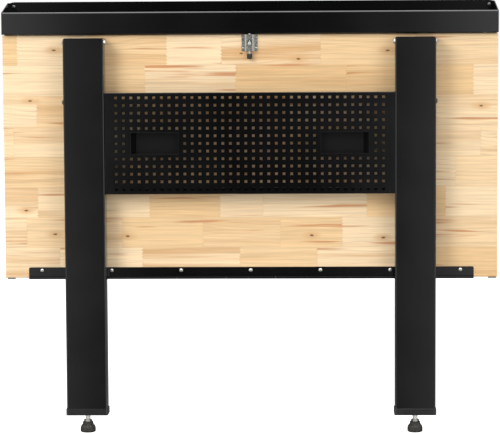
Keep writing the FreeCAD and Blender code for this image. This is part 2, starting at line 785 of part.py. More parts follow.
def stay(name, side):
    """Flat hook stay that hangs in the leg. Its notch meets the catch pin when the board is level."""
    inner = side * (leg_span / 2 + leg_width - leg_sheet - stay_inset)
    start = inner if side < 0 else inner - stay_sheet
    half = stay_width / 2
    bar = block(start, start + stay_sheet, stay_y - half, stay_y + half, stay_z - stay_reach, stay_z)
    eye = rod("X", start, stay_y, stay_z, half, stay_sheet)
    hook = rod("X", start, stay_y, stay_z - stay_reach, hook_radius, stay_sheet)
    notch_radius = catch_pin_radius + notch_clearance
    seat = rod("X", start - overrun, stay_y, stay_z - stay_reach, notch_radius,
               stay_sheet + 2 * overrun)
    mouth_end = (stay_y + notch_back * notch_long, stay_z - stay_reach + notch_up * notch_long)
    side_step = (notch_up * notch_radius, -notch_back * notch_radius)
    mouth = profile("YZ_Plane", [
        (stay_y + side_step[0], stay_z - stay_reach + side_step[1]),
        (mouth_end[0] + side_step[0], mouth_end[1] + side_step[1]),
        (mouth_end[0] - side_step[0], mouth_end[1] - side_step[1]),
        (stay_y - side_step[0], stay_z - stay_reach - side_step[1])],
        start - overrun, stay_sheet + 2 * overrun)
    bore = rod("X", start - overrun, stay_y, stay_z, bolt_radius + running_gap, stay_sheet + 2 * overrun)
    node(name, cut(joined([bar, eye, hook]), [joined([seat, mouth]), bore]))


def catches():
    """Angle brackets on the board, each with a pin that a stay hooks onto."""
    pins = []
    screws = []
    for name, side in (("catch_bracket_left", -1), ("catch_bracket_right", 1)):
        stay_face = side * (leg_span / 2 + leg_width - leg_sheet - stay_inset - stay_sheet)
        plate = [stay_face - side * catch_side_gap, stay_face - side * (catch_side_gap + catch_sheet)]
        plate = sorted(plate, key=lambda s: s.value)
        base = [stay_face - side * catch_side_gap,
                stay_face - side * (catch_side_gap + catch_plate_width)]
        base = sorted(base, key=lambda s: s.value)
        half = catch_plate_height / 2
        low, high = catch_z - half, catch_z + half
        upright = profile("YZ_Plane", [
            (face_y, low), (face_y, high), (catch_y, catch_z + catch_nose_radius),
            (catch_y, catch_z - catch_nose_radius)], plate[0], catch_sheet)
        nose = rod("X", plate[0], catch_y, catch_z, catch_nose_radius, catch_sheet)
        foot = block(base[0], base[1], face_y - catch_sheet, face_y, low, high)
        screw_x = stay_face - side * (catch_side_gap + catch_screw_inset)
        levels = [catch_z - catch_screw_spread, catch_z + catch_screw_spread]
        holes = [rod("Y", screw_x, face_y - catch_sheet - overrun, level, wood_screw_radius,
                     catch_sheet + 2 * overrun) for level in levels]
        holes.append(rod("X", plate[0] - overrun, catch_y, catch_z, catch_pin_radius,
                         catch_sheet + 2 * overrun))
        node(name, cut(joined([upright, nose, foot]), holes))
        screws += [wood_screw(screw_x, face_y - catch_sheet, level) for level in levels]
        pin_length = catch_sheet + catch_side_gap + stay_sheet + catch_pin_proud
        pin_from = plate[1] - pin_length if side < 0 else plate[0]
        pins.append(rod("X", pin_from, catch_y, catch_z, catch_pin_radius, pin_length))
    node("catch_pins", together(pins))
    node("catch_screws", together(screws))


def tool_panel():
    """Perforated sheet between the legs, flanged all round with return lips top and bottom."""
    half = leg_span / 2
    front, back = panel_front_y, panel_front_y + panel_flange
    low, high = panel_low_z, panel_high_z
    inner = panel_sheet
    section = profile("YZ_Plane", [
        (front, low), (back, low), (back, low + panel_lip), (back - inner, low + panel_lip),
        (back - inner, low + inner), (front + inner, low + inner), (front + inner, high - inner),
        (back - inner, high - inner), (back - inner, high - panel_top_lip), (back, high - panel_top_lip),
        (back, high), (front, high)], -half, leg_span)
    round_corners(section, "YZ_Plane", [(front, low), (front, high)], panel_sheet)
    sides = [block(-half, inner - half, front, back, low, high),
             block(half - inner, half, front, back, low, high)]
    bend_envelope = profile("XY_Plane", [
        (-half, front), (half, front), (half, back), (-half, back)], low, high - low)
    round_corners(bend_envelope, "XY_Plane", [(-half, front), (half, front)], panel_bend_radius)
    folded = new("Part::Common", "Folded")
    folded.Base = joined([section] + sides)
    folded.Tool = bend_envelope
    middle = (low + high) / 2
    cutters = []
    for column in range(hole_columns):
        for row in range(hole_rows):
            from_left = abs(column - recess_middle_column)
            from_right = abs(hole_columns - 1 - column - recess_middle_column)
            beside = min(from_left, from_right) <= (recess_columns - 1) / 2
            level = abs(row - (hole_rows - 1) / 2) <= (recess_rows - 1) / 2
            if beside and level:
                continue
            x = (column - (hole_columns - 1) / 2) * hole_pitch.value
            z = middle.value + (row - (hole_rows - 1) / 2) * hole_pitch.value
            side = hole_side.value
            corner = FreeCAD.Vector(x - side / 2, front.value - overrun.value, z - side / 2)
            depth = panel_sheet.value + 2 * overrun.value
            cutters.append(Part.makeBox(side, depth, side, corner))
    for side in (-1, 1):
        x = side * recess_x.value
        across = recess_width.value + 2 * (recess_wall.value + fit_gap.value)
        tall = recess_height.value + 2 * (recess_wall.value + fit_gap.value)
        corner = FreeCAD.Vector(x - across / 2, front.value - overrun.value, middle.value - tall / 2)
        window = Part.makeBox(across, panel_sheet.value + 2 * overrun.value, tall, corner)
        cutters.append(window)
    perforation = new("Part::Feature", "Perforation")
    perforation.Shape = Part.makeCompound(cutters)
    holes = []
    for level in panel_bolt_levels:
        for start in (-half - overrun, half - panel_sheet - overrun):
            holes.append(rod("X", start, panel_bolt_y, level, small_bolt_radius,
                             panel_sheet + 2 * overrun))
    node("tool_panel", cut(folded, [perforation] + holes))


def panel_fasteners():
    bolts = []
    nuts = []
    grip = panel_sheet + leg_sheet
    for level in panel_bolt_levels:
        inner = leg_span / 2 - panel_sheet
        bolts.append(small_bolt("X", -1, -inner, panel_bolt_y, level, grip))
        bolts.append(small_bolt("X", 1, inner, panel_bolt_y, level, grip))
        nut_x = leg_span / 2 + leg_sheet
        nuts.append(small_nut("X", -nut_x - small_nut_height, panel_bolt_y, level))
        nuts.append(small_nut("X", nut_x, panel_bolt_y, level))
    node("panel_bolts", together(bolts))
    node("panel_nuts", together(nuts))


def hand_recess(name, side):
    """Moulded finger cup in a window of the panel: a sloped outer end and a rim behind the sheet."""
    middle_z = (panel_low_z + panel_high_z) / 2
    centre = side * recess_x
    half = recess_width / 2
    mouth = panel_front_y - recess_proud
    floor_y = panel_front_y + recess_depth
    tall = recess_height / 2

    def plan(grow, front_y, back_y):
        return [(centre - side * (half + grow), front_y), (centre + side * (half + grow), front_y),
                (centre + side * (half + grow - recess_slope), back_y),
                (centre - side * (half + grow), back_y)]

    shell = profile("XY_Plane", plan(recess_wall, mouth, floor_y + recess_wall),
                    middle_z - tall - recess_wall, recess_height + 2 * recess_wall)
    hollow = profile("XY_Plane", plan(nought, mouth - overrun, floor_y), middle_z - tall, recess_height)
    rim_y = panel_front_y + panel_sheet
    reach = half + recess_wall + recess_rim
    rim = block(centre - reach, centre + reach, rim_y, rim_y + recess_wall,
                middle_z - tall - recess_wall - recess_rim, middle_z + tall + recess_wall + recess_rim)
    rim_hole = block(centre - half, centre + half, rim_y - overrun, rim_y + recess_wall + overrun,
                     middle_z - tall, middle_z + tall)
    node(name, cut(joined([shell, cut(rim, [rim_hole])]), [hollow]))


def leg_cap(name, side):
    """Moulded cap round the lower end of a leg, with a hole for the foot stud."""
    middle = side * leg_middle
    half = leg_width / 2
    outer = half + cap_wall
    back = leg_back_y
    shell = profile("XY_Plane", [
        (middle - outer, leg_front_y - cap_wall), (middle + outer, leg_front_y - cap_wall),
        (middle + outer, back + cap_wall), (middle - outer, back + cap_wall)], cap_bottom_z, cap_height)
    round_corners(shell, "XY_Plane", [
        (middle - outer, leg_front_y - cap_wall), (middle + outer, leg_front_y - cap_wall)],
        leg_bend_radius + cap_wall)
    pocket = profile("XY_Plane", [
        (middle - half, leg_front_y), (middle + half, leg_front_y), (middle + half, back),
        (middle - half, back)], leg_bottom_z, cap_height)
    round_corners(pocket, "XY_Plane", [(middle - half, leg_front_y), (middle + half, leg_front_y)],
                  leg_bend_radius)
    hole = rod("Z", middle, foot_y, cap_bottom_z - overrun, stud_radius + fit_gap,
               cap_floor + 2 * overrun)
    node(name, cut(shell, [pocket, hole]))


def foot(side_name, side):
    """Threaded plate welded in the leg, stud, nut and flared base."""
    middle = side * leg_middle
    half = leg_width / 2 - leg_sheet
    inner_front = leg_front_y + leg_sheet
    plate = block(middle - half, middle + half, inner_front, leg_back_y, leg_bottom_z,
                  leg_bottom_z + foot_plate_sheet)
    boss = rod("Z", middle, foot_y, leg_bottom_z, foot_boss_radius, foot_plate_sheet + foot_boss_height)
    thread = rod("Z", middle, foot_y, leg_bottom_z - overrun, stud_radius + running_gap,
                 foot_plate_sheet + foot_boss_height + 2 * overrun)
    node("foot_plate_" + side_name, cut(joined([plate, boss]), [thread]))

    base_top = cap_bottom_z - foot_gap
    base_bottom = base_top - foot_height
    node("foot_stud_" + side_name, rod("Z", middle, foot_y, base_top, stud_radius, stud_length))
    node("foot_nut_" + side_name, cut(
        hexagon("Z", middle, foot_y, base_top, foot_nut_radius, foot_nut_height),
        [rod("Z", middle, foot_y, base_top, stud_radius, foot_nut_height)]))
    base = joined([
        cone("Z", middle, foot_y, base_bottom, foot_radius - foot_edge, foot_radius, foot_edge),
        rod("Z", middle, foot_y, base_bottom + foot_edge, foot_radius,
            foot_height - foot_shoulder - foot_edge),
        cone("Z", middle, foot_y, base_top - foot_shoulder, foot_radius, foot_neck_radius,
             foot_shoulder)])
    node("foot_base_" + side_name, base)


def latch():
    """Spring bolt: plate with a bridge and window, rod, collar, knob and spring."""
    plate_top = top_z - latch_plate_drop
    plate_low = plate_top - latch_plate_height
    half = latch_housing_width / 2
    bridge_front = latch_y - latch_rod_radius - latch_wall - latch_wall
    plate_front = face_y - latch_sheet
    plate = block(-latch_plate_width / 2, latch_plate_width / 2, plate_front, face_y, plate_low,
                  plate_top)
    bridge = profile("XY_Plane", [
        (-half, plate_front), (half, plate_front), (half, bridge_front), (-half, bridge_front)],
        plate_low, latch_plate_height)
    round_corners(bridge, "XY_Plane", [(-half, bridge_front), (half, bridge_front)],
                  latch_wall + latch_wall)
    chamber = block(latch_wall - half, half - latch_wall, bridge_front + latch_wall, plate_front,
                    plate_low + latch_sheet, plate_top - latch_sheet)
    window_top = plate_top - latch_window_drop
    window = block(latch_wall - half + latch_wall, half - latch_wall - latch_wall,
                   bridge_front - overrun, bridge_front + latch_wall + overrun,
                   window_top - latch_window_height, window_top)
    guide = rod("Z", 0, latch_y, plate_low - overrun, latch_rod_radius + running_gap,
                latch_plate_height + 2 * overrun)
    holes = [rod("Y", side * latch_screw_spread, plate_front - overrun, plate_top - drop,
                 wood_screw_radius, latch_sheet + 2 * overrun)
             for side in (-1, 1) for drop in (latch_screw_high, latch_screw_low)]
    body = cut(joined([plate, bridge]), [joined([chamber, window, guide])] + holes)
    node("latch_housing", body)

    screws = []
    for side in (-1, 1):
        for drop in (latch_screw_high, latch_screw_low):
            x, z = side * latch_screw_spread, plate_top - drop
            screws.append(joined([
                cone("Y", x, plate_front - latch_screw_head_height, z,
                     latch_screw_head_radius * head_crown_share, latch_screw_head_radius,
                     latch_screw_head_height),
                rod("Y", x, plate_front, z, wood_screw_radius, wood_screw_length)]))
    node("latch_screws", together(screws))

    knob_top = plate_top - latch_knob_drop
    knob_low = knob_top - latch_knob_height
    tip = tray_z - latch_tip_gap
    point = latch_rod_radius * tip_bevel_share
    bar = joined([
        rod("Z", 0, latch_y, knob_top, latch_rod_radius, tip - point - knob_top),
        cone("Z", 0, latch_y, tip - point, latch_rod_radius, latch_rod_radius - point, point)])
    node("latch_rod", bar)
    bevel = latch_knob_radius * knob_bevel_share
    node("latch_knob", joined([
        cone("Z", 0, latch_y, knob_low, latch_knob_radius - bevel, latch_knob_radius, bevel),
        rod("Z", 0, latch_y, knob_low + bevel, latch_knob_radius, latch_knob_height - 2 * bevel),
        cone("Z", 0, latch_y, knob_top - bevel, latch_knob_radius, latch_knob_radius - bevel, bevel)]))
    collar_z = window_top - latch_window_height
    node("latch_collar", cut(
        rod("Z", 0, latch_y, collar_z, latch_collar_radius, latch_collar_height),
        [rod("Z", 0, latch_y, collar_z, latch_rod_radius, latch_collar_height)]))

    low = (plate_low + latch_sheet + spring_wire_radius + spring_end_gap).value
    high = (collar_z - spring_wire_radius - spring_end_gap).value
    coil_radius = (latch_rod_radius + spring_wire_radius + spring_end_gap).value
    helix = Part.makeHelix((high - low) / spring_turns, high - low, coil_radius)
    start = FreeCAD.Vector(coil_radius, 0, 0)
    ring = Part.Wire(Part.Circle(start, FreeCAD.Vector(0, 1, 0), spring_wire_radius.value).toShape())
    coil = Part.Wire(helix).makePipeShell([ring], True, True)
    spring = new("Part::Feature", "Spring")
    spring.Shape = coil
    spring.Placement.Base = FreeCAD.Vector(0, latch_y.value, low)
    node("latch_spring", spring)
    print("spring gap between turns %.2f mm" % ((high - low) / spring_turns - 2 * spring_wire_radius.value))


# Places shared by pieces that meet
post_front_y = rear_y + rest_gap
fixing_x = half_width - (post_width + post_sheet) / 2
fixing_levels = [axis_z + fixing_low, axis_z + fixing_low + fixing_rise]
post_bolt_x = fixing_x
post_bolt_share = 0.25
post_bolt_places = [post_front_y * post_bolt_share, post_front_y * (1 - post_bolt_share)]
rail_bolt_places = post_bolt_places
rail_bolt_z = axis_z + rail_tab_height / 2
tray_bolt_drop = size("tray_bolt_drop", 12)
tray_bolt_z = tray_z + tray_back_height - tray_bolt_drop
tray_screw_x = size("tray_screw_x", 352)
tray_screw_head_height = size("tray_screw_head_height", 2.4)
tray_screw_taper = size("tray_screw_taper", 1)
latch_y = face_y - latch_out
rivet_y = axis_y + rivet_setback
hinge_screw_places = [(number - (hinge_screw_count - 1) / 2) * hinge_screw_pitch
                      for number in range(hinge_screw_count)]
head_crown_share = 0.5
head_neck_share = 0.3
tip_bevel_share = 0.3
knob_bevel_share = 0.25

pivot_y = face_y - pivot_out
leg_front_y = pivot_y - pivot_front
leg_back_y = pivot_y + pivot_back
leg_top_z = top_z - leg_drop
leg_bottom_z = leg_top_z - leg_length
cap_bottom_z = leg_bottom_z - cap_floor
pivot_z = leg_top_z - pivot_drop
leg_middle = (leg_span + leg_width) / 2
foot_y = (leg_front_y + leg_back_y) / 2

stay_y = pivot_y - stay_forward
stay_z = pivot_z - stay_drop
stay_reach = (stay_drop + catch_back) * math.sqrt(2)
catch_y = pivot_y + catch_back
catch_z = pivot_z - stay_drop - catch_back + stay_forward
catch_side_gap = size("catch_side_gap", 2)
catch_pin_proud = size("catch_pin_proud", 1)
catch_screw_inset = size("catch_screw_inset", 16)
catch_screw_spread = size("catch_screw_spread", 11)
notch_long = hook_radius + overrun
notch_slant = math.radians(27)
notch_back = math.cos(notch_slant)
notch_up = math.sin(notch_slant)

panel_front_y = leg_front_y + panel_set_back
panel_high_z = leg_top_z - panel_drop
panel_low_z = panel_high_z - 2 * panel_edge - (hole_rows - 1) * hole_pitch
panel_bolt_y = panel_front_y + panel_flange / 2
panel_bolt_inset = size("panel_bolt_inset", 30)
panel_bolt_levels = [panel_low_z + panel_bolt_inset, panel_high_z - panel_bolt_inset]
recess_x = ((hole_columns - 1) / 2 - recess_middle_column) * hole_pitch
recess_proud = size("recess_proud", 0.8)

worktop()
tray()
side_posts()
bottom_rail()
frame_fasteners()
hinge()
leg("leg_left", -1)
leg("leg_right", 1)
leg_bracket("leg_bracket_left", -1)
leg_bracket("leg_bracket_right", 1)
bracket_screws()
pivot_fasteners()
stay_fasteners()
stay("stay_left", -1)
stay("stay_right", 1)
catches()
tool_panel()
panel_fasteners()
hand_recess("hand_recess_left", -1)
hand_recess("hand_recess_right", 1)
leg_cap("leg_cap_left", -1)
leg_cap("leg_cap_right", 1)
foot("left", -1)
foot("right", 1)
latch()

doc.recompute()
for obj in doc.Objects:
    if "Invalid" in obj.State or "Error" in obj.State:
        raise RuntimeError("%s did not build: %s" % (obj.Label, obj.State))
for obj in nodes:
    if obj.Shape.isNull() or not obj.Shape.isValid():
        raise RuntimeError("%s has no valid shape" % obj.Label)

os.makedirs("parts", exist_ok=True)
for obj in nodes:
    obj.Shape.exportStep("parts/%s.step" % obj.Label)
    box = obj.Shape.BoundBox
    print("%-20s solids %2d  volume %10.0f  z %.1f to %.1f" % (
        obj.Label, len(obj.Shape.Solids), obj.Shape.Volume, box.ZMin, box.ZMax))
print("nodes %d" % len(nodes))
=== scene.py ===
import json
import math

import bmesh
import bpy
from mathutils import Matrix, Vector


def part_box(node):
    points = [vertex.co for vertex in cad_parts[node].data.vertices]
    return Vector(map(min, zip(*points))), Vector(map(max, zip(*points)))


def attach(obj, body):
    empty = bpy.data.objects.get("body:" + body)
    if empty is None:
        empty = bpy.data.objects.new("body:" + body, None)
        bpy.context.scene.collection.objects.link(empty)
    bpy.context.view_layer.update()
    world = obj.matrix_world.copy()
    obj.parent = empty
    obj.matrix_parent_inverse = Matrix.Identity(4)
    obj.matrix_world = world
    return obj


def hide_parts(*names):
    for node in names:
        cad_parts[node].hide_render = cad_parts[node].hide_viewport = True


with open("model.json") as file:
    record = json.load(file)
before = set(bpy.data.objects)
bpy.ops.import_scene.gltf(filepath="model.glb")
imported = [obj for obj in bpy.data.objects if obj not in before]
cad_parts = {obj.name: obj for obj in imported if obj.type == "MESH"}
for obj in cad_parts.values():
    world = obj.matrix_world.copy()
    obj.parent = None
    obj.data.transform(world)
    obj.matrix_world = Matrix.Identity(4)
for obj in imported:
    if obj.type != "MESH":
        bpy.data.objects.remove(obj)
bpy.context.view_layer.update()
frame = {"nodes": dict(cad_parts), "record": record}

# Camera: in front of the bench, a little to its right and level with the tray,
# far off with a long lens, which keeps the uprights straight.
camera_place = Vector((0.143, -5.394, 0.282))
camera_yaw = math.radians(1.57)
camera_pitch = math.radians(-4.81)
camera_roll = math.radians(0.31)
lens_share_of_width = 4.336
camera_data = bpy.data.cameras.new("camera")
camera_data.sensor_width = 36
camera_data.lens = camera_data.sensor_width * lens_share_of_width
camera_data.clip_end = 100
camera = bpy.data.objects.new("camera", camera_data)
bpy.context.scene.collection.objects.link(camera)
camera.matrix_world = (
    Matrix.Translation(camera_place) @ Matrix.Rotation(camera_yaw, 4, "Z")
    @ Matrix.Rotation(camera_pitch, 4, "X") @ Matrix.Rotation(camera_roll, 4, "Y")
    @ Matrix.Rotation(math.radians(90), 4, "X"))
bpy.context.scene.camera = camera
bpy.context.scene.view_settings.view_transform = "Standard"

# Room: a white sweep behind the bench and an even light from all round. Gloss sees
# it as a studio: soft boxes left, right and above, with a dark gap between them.
ambient_strength = 0.585
gap_centre = -0.029
gap_reach = 0.108
gap_sharpness = 5.0
least_ahead = 0.001
side_level = 1.5
overhead_level = 4.2
underfoot_level = 0.2
backdrop_level = 0.15
side_fade = 0.15
height_fade = (0.3, 0.6)
white = (1, 1, 1, 1)
lamps = (("key_light", (-2.7, -3.4, 2.0), 1.8, 108.0),
         ("fill_light", (2.9, -3.6, 1.2), 2.0, 43.0))


def wire(tree, kind, inputs=None, **settings):
    """Adds a node with its settings, and its inputs as values or as links from other sockets."""
    made = tree.nodes.new(kind)
    for key, value in settings.items():
        setattr(made, key, value)
    for key, value in (inputs or {}).items():
        if isinstance(value, bpy.types.NodeSocket):
            tree.links.new(value, made.inputs[key])
        else:
            made.inputs[key].default_value = value
    return made


def maths(tree, operation, first, second=0.0, third=0.0):
    """One step of arithmetic on values or sockets."""
    inputs = {0: first, 1: second, 2: third}
    return wire(tree, "ShaderNodeMath", inputs, operation=operation).outputs[0]


def soft_step(tree, value, low, high, to_low=0.0, to_high=1.0):
    """A smooth change from to_low to to_high while the value goes from low to high."""
    inputs = {"Value": value, "From Min": low, "From Max": high, "To Min": to_low, "To Max": to_high}
    return wire(tree, "ShaderNodeMapRange", inputs, interpolation_type="SMOOTHSTEP").outputs[0]


def parts_of(tree, vector):
    """The X, Y and Z of a place or a direction."""
    return wire(tree, "ShaderNodeSeparateXYZ", {0: vector}).outputs


def seen_straight(tree):
    """1 where a ray comes from the camera, also through something clear, and otherwise 0."""
    ray = wire(tree, "ShaderNodeLightPath").outputs
    return maths(tree, "MAXIMUM", ray["Is Camera Ray"], ray["Is Transmission Ray"])


world = bpy.data.worlds.new("room")
world.use_nodes = True
bpy.context.scene.world = world
tree = world.node_tree
tree.nodes.clear()
direction = parts_of(tree, wire(tree, "ShaderNodeTexCoord").outputs["Generated"])
ahead = maths(tree, "MAXIMUM", maths(tree, "MULTIPLY", direction["Y"], -1.0), least_ahead)
from_gap = maths(tree, "ABSOLUTE", maths(
    tree, "SUBTRACT", maths(tree, "DIVIDE", direction["X"], ahead), gap_centre))
front_level = maths(tree, "MINIMUM", maths(
    tree, "POWER", maths(tree, "DIVIDE", from_gap, gap_reach), gap_sharpness), side_level)
front_share = soft_step(tree, direction["Y"], -side_fade, side_fade, 1.0, 0.0)
level = wire(tree, "ShaderNodeMix", {0: front_share, 2: backdrop_level, 3: front_level}).outputs[0]
for up, far_level in ((1.0, overhead_level), (-1.0, underfoot_level)):
    share = soft_step(tree, maths(tree, "MULTIPLY", direction["Z"], up), *height_fade)
    level = wire(tree, "ShaderNodeMix", {0: share, 2: level, 3: far_level}).outputs[0]
even = wire(tree, "ShaderNodeBackground", {"Color": white, "Strength": ambient_strength})
mirrored = wire(tree, "ShaderNodeBackground", {"Color": white, "Strength": level})
sweep = wire(tree, "ShaderNodeBackground", {"Color": white, "Strength": 1.0})
in_gloss = wire(tree, "ShaderNodeLightPath").outputs["Is Glossy Ray"]
seen_in_gloss = wire(tree, "ShaderNodeMixShader", {
    0: in_gloss, 1: even.outputs[0], 2: mirrored.outputs[0]})
room = wire(tree, "ShaderNodeMixShader", {
    0: seen_straight(tree), 1: seen_in_gloss.outputs[0], 2: sweep.outputs[0]})
wire(tree, "ShaderNodeOutputWorld", {"Surface": room.outputs[0]})

for name, place, width, watts in lamps:
    lamp_data = bpy.data.lights.new(name, "AREA")
    lamp_data.size = width
    lamp_data.energy = watts
    lamp = bpy.data.objects.new(name, lamp_data)
    lamp.location = place
    lamp.rotation_mode = "QUATERNION"
    lamp.rotation_quaternion = (-Vector(place)).to_track_quat("-Z", "Y")
    lamp.visible_camera = False
    lamp.visible_glossy = False
    bpy.context.scene.collection.objects.link(lamp)

# Floor: pale and plain, at the level the feet stand on when the bench is open.
# Gloss looks through it to the soft boxes and the gap of the room.
floor_level = -1.287
floor_half = 30.0
floor_grey = (0.82, 0.82, 0.82, 1)
floor_mesh = bpy.data.meshes.new("floor")
floor_mesh.from_pydata([(-floor_half, -floor_half, floor_level), (floor_half, -floor_half, floor_level),
                        (floor_half, floor_half, floor_level), (-floor_half, floor_half, floor_level)],
                       [], [(0, 1, 2, 3)])
floor = bpy.data.objects.new("floor", floor_mesh)
bpy.context.scene.collection.objects.link(floor)
floor_paint = bpy.data.materials.new("pale_floor")
floor_paint.use_nodes = True
tree = floor_paint.node_tree
tree.nodes.clear()
lit = wire(tree, "ShaderNodeBsdfDiffuse", {"Color": floor_grey})
glow = wire(tree, "ShaderNodeEmission", {"Color": white, "Strength": seen_straight(tree)})
both = wire(tree, "ShaderNodeAddShader", {0: lit.outputs[0], 1: glow.outputs[0]})
wire(tree, "ShaderNodeOutputMaterial", {"Surface": both.outputs[0]})
floor.visible_glossy = False
floor_mesh.materials.append(floor_paint)

# Wooden top: eight glued strips of softwood, each of short blocks joined by
# cut fingers, planed, sanded and sealed with a satin oil. Grain sizes are per metre
# along, through and up the board.
strip_count = 8
strip_offset = 31.7
block_length = 0.19
block_shift = (9.0, 5.0, 7.0)
finger_depth = 0.004
finger_pitch = 0.0085
strip_glue = (0.0, 0.011, 0.40, 0.0)
block_glue = (0.0, 0.0035, 0.45, 0.0)
rings_per_metre = 190.0
wander_size = (1.6, 9.0, 9.0)
least_wander = 5.0
added_wander = 16.0
late_part = (0.62, 1.0)
late_strength = (0.0, 1.0, 0.05, 0.34)
fibre_size = (7.0, 260.0, 260.0)
fibre_shade = (0.25, 0.75, 0.86, 1.07)
fibre_gloss = (0.2, 0.8, 0.38, 0.56)
streak_size = (1.1, 26.0, 26.0)
streak_part = (0.47, 0.71)
streak_strength = (0.2, 1.0, 0.25, 0.95)
resin_size = (3.4, 75.0, 75.0)
resin_part = (0.62, 0.72)
resin_strength = 0.85
straw_part = (0.10, 0.90, 0.0, 1.1)
knots_along = 4.6
knots_up = 10.5
bare_share = 0.45
knot_core = (0.014, 0.028, 1.0, 0.0)
knot_halo = (0.02, 0.15, 0.7, 0.0)
knot_fray = 0.035
fray_size = 90.0
end_facing = (0.7, 0.9)
heart_depth = 0.16
heart_drift = 0.3
year_ring_size = 60.0
year_ring_part = (0.3, 0.9, 0.15, 0.75)
glue_groove = 1.5
grain_relief = (0.22, 0.0004)
cream = (0.96, 0.735, 0.465, 1)
straw = (0.86, 0.585, 0.300, 1)
honey = (0.70, 0.41, 0.18, 1)
late_wood = (0.60, 0.335, 0.15, 1)
resin_orange = (0.60, 0.245, 0.09, 1)
knot_brown = (0.19, 0.085, 0.035, 1)
board_low, board_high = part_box("worktop")
strip_height = (board_high.z - board_low.z) / strip_count


def new_material(name, colour, roughness, metallic=0.0):
    """A material with its shader and its place on the object, ready for wiring."""
    material = bpy.data.materials.new(name)
    material.use_nodes = True
    shader = material.node_tree.nodes["Principled BSDF"]
    shader.inputs["Base Color"].default_value = (*colour, 1)
    shader.inputs["Roughness"].default_value = roughness
    shader.inputs["Metallic"].default_value = metallic
    place = wire(material.node_tree, "ShaderNodeTexCoord").outputs["Object"]
    return material, material.node_tree, shader, place


def blend_colours(tree, share, first, second, mode="MIX"):
    """Two colours mixed by a share, each a value or a socket."""
    inputs = {0: share, 6: first, 7: second}
    return wire(tree, "ShaderNodeMix", inputs, data_type="RGBA", blend_type=mode).outputs[2]


def speckle(tree, place, scale, detail=2.0, roughness=0.5, distortion=0.0):
    """A cloudy value from 0 to 1."""
    inputs = {"Vector": place, "Scale": scale, "Detail": detail, "Roughness": roughness,
              "Distortion": distortion}
    return wire(tree, "ShaderNodeTexNoise", inputs).outputs[0]


def stretched(tree, place, scale):
    """The place on the object, scaled apart in each direction."""
    return wire(tree, "ShaderNodeMapping", {"Vector": place, "Scale": scale}).outputs[0]


def raise_surface(tree, shader, height, strength, distance):
    """Bumps on a surface."""
    bump = wire(tree, "ShaderNodeBump", {"Height": height, "Strength": strength, "Distance": distance})
    tree.links.new(bump.outputs[0], shader.inputs["Normal"])


def dress(material, *names):
    """Gives a material to the pieces that keep the shape they come with."""
    for name in names:
        piece = frame["nodes"][name]
        piece.data.materials.clear()
        piece.data.materials.append(material)


def channels_of(tree, colour):
    """The red, green and blue of a colour."""
    return wire(tree, "ShaderNodeSeparateColor", {0: colour}).outputs


def glued_blocks(tree, axes, strips_up):
    """The blocks of each strip, as their own random colours and the way to their nearest end."""
    finger = maths(tree, "PINGPONG", maths(tree, "DIVIDE", axes["Z"], finger_pitch), 0.5)
    along = maths(tree, "ADD", maths(tree, "DIVIDE", axes["X"], block_length),
                  maths(tree, "MULTIPLY", finger, 2 * finger_depth / block_length))
    along = maths(tree, "ADD", along, maths(tree, "MULTIPLY", maths(tree, "FLOOR", strips_up), strip_offset))
    cells = wire(tree, "ShaderNodeTexVoronoi", {"W": along, "Scale": 1.0}, voronoi_dimensions="1D")
    edges = wire(tree, "ShaderNodeTexVoronoi", {"W": along, "Scale": 1.0}, voronoi_dimensions="1D",
                 feature="DISTANCE_TO_EDGE")
    return cells.outputs["Color"], edges.outputs["Distance"]


def long_grain(tree, axes, in_block, tint, fibre):
    """Wood as it looks along the grain: its year rings, honey streaks, resin and fibres."""
    colour = blend_colours(tree, soft_step(tree, tint[0], *straw_part), cream, straw)
    streak = speckle(tree, stretched(tree, in_block, streak_size), 1.0, 4.0, 0.55, 0.3)
    warm = maths(tree, "MULTIPLY", soft_step(tree, streak, *streak_part),
                 soft_step(tree, tint[2], *streak_strength))
    colour = blend_colours(tree, warm, colour, honey)
    resin = soft_step(tree, speckle(tree, stretched(tree, in_block, resin_size), 1.0), *resin_part)
    colour = blend_colours(tree, maths(tree, "MULTIPLY", resin, resin_strength), colour, resin_orange)
    wander = maths(tree, "MULTIPLY", speckle(tree, stretched(tree, in_block, wander_size), 1.0),
                   maths(tree, "ADD", least_wander, maths(tree, "MULTIPLY", tint[1], added_wander)))
    rings = maths(tree, "PINGPONG", maths(
        tree, "ADD", maths(tree, "MULTIPLY", axes["Z"], rings_per_metre), wander), 1.0)
    late = maths(tree, "MULTIPLY", soft_step(tree, rings, *late_part),
                 soft_step(tree, tint[1], *late_strength))
    colour = blend_colours(tree, late, colour, late_wood)
    shade = soft_step(tree, fibre, *fibre_shade)
    grey = wire(tree, "ShaderNodeCombineColor", {0: shade, 1: shade, 2: shade}).outputs[0]
    return blend_colours(tree, 1.0, colour, grey, "MULTIPLY")


def knotted(tree, place, axes, colour):
    """The wood with small knots, each in a honey halo, that go right through the board."""
    on_face = wire(tree, "ShaderNodeCombineXYZ", {
        "X": maths(tree, "MULTIPLY", axes["X"], knots_along),
        "Y": maths(tree, "MULTIPLY", axes["Z"], knots_up)}).outputs[0]
    knots = wire(tree, "ShaderNodeTexVoronoi", {"Vector": on_face, "Scale": 1.0}, voronoi_dimensions="2D")
    here = maths(tree, "GREATER_THAN", channels_of(tree, knots.outputs["Color"])[0], bare_share)
    fray = maths(tree, "SUBTRACT", speckle(tree, place, fray_size, 3.0), 0.5)
    from_middle = maths(tree, "ADD", knots.outputs["Distance"], maths(tree, "MULTIPLY", fray, knot_fray))
    for part, tone in ((knot_halo, honey), (knot_core, knot_brown)):
        share = maths(tree, "MULTIPLY", soft_step(tree, from_middle, *part), here)
        colour = blend_colours(tree, share, colour, tone)
    return colour


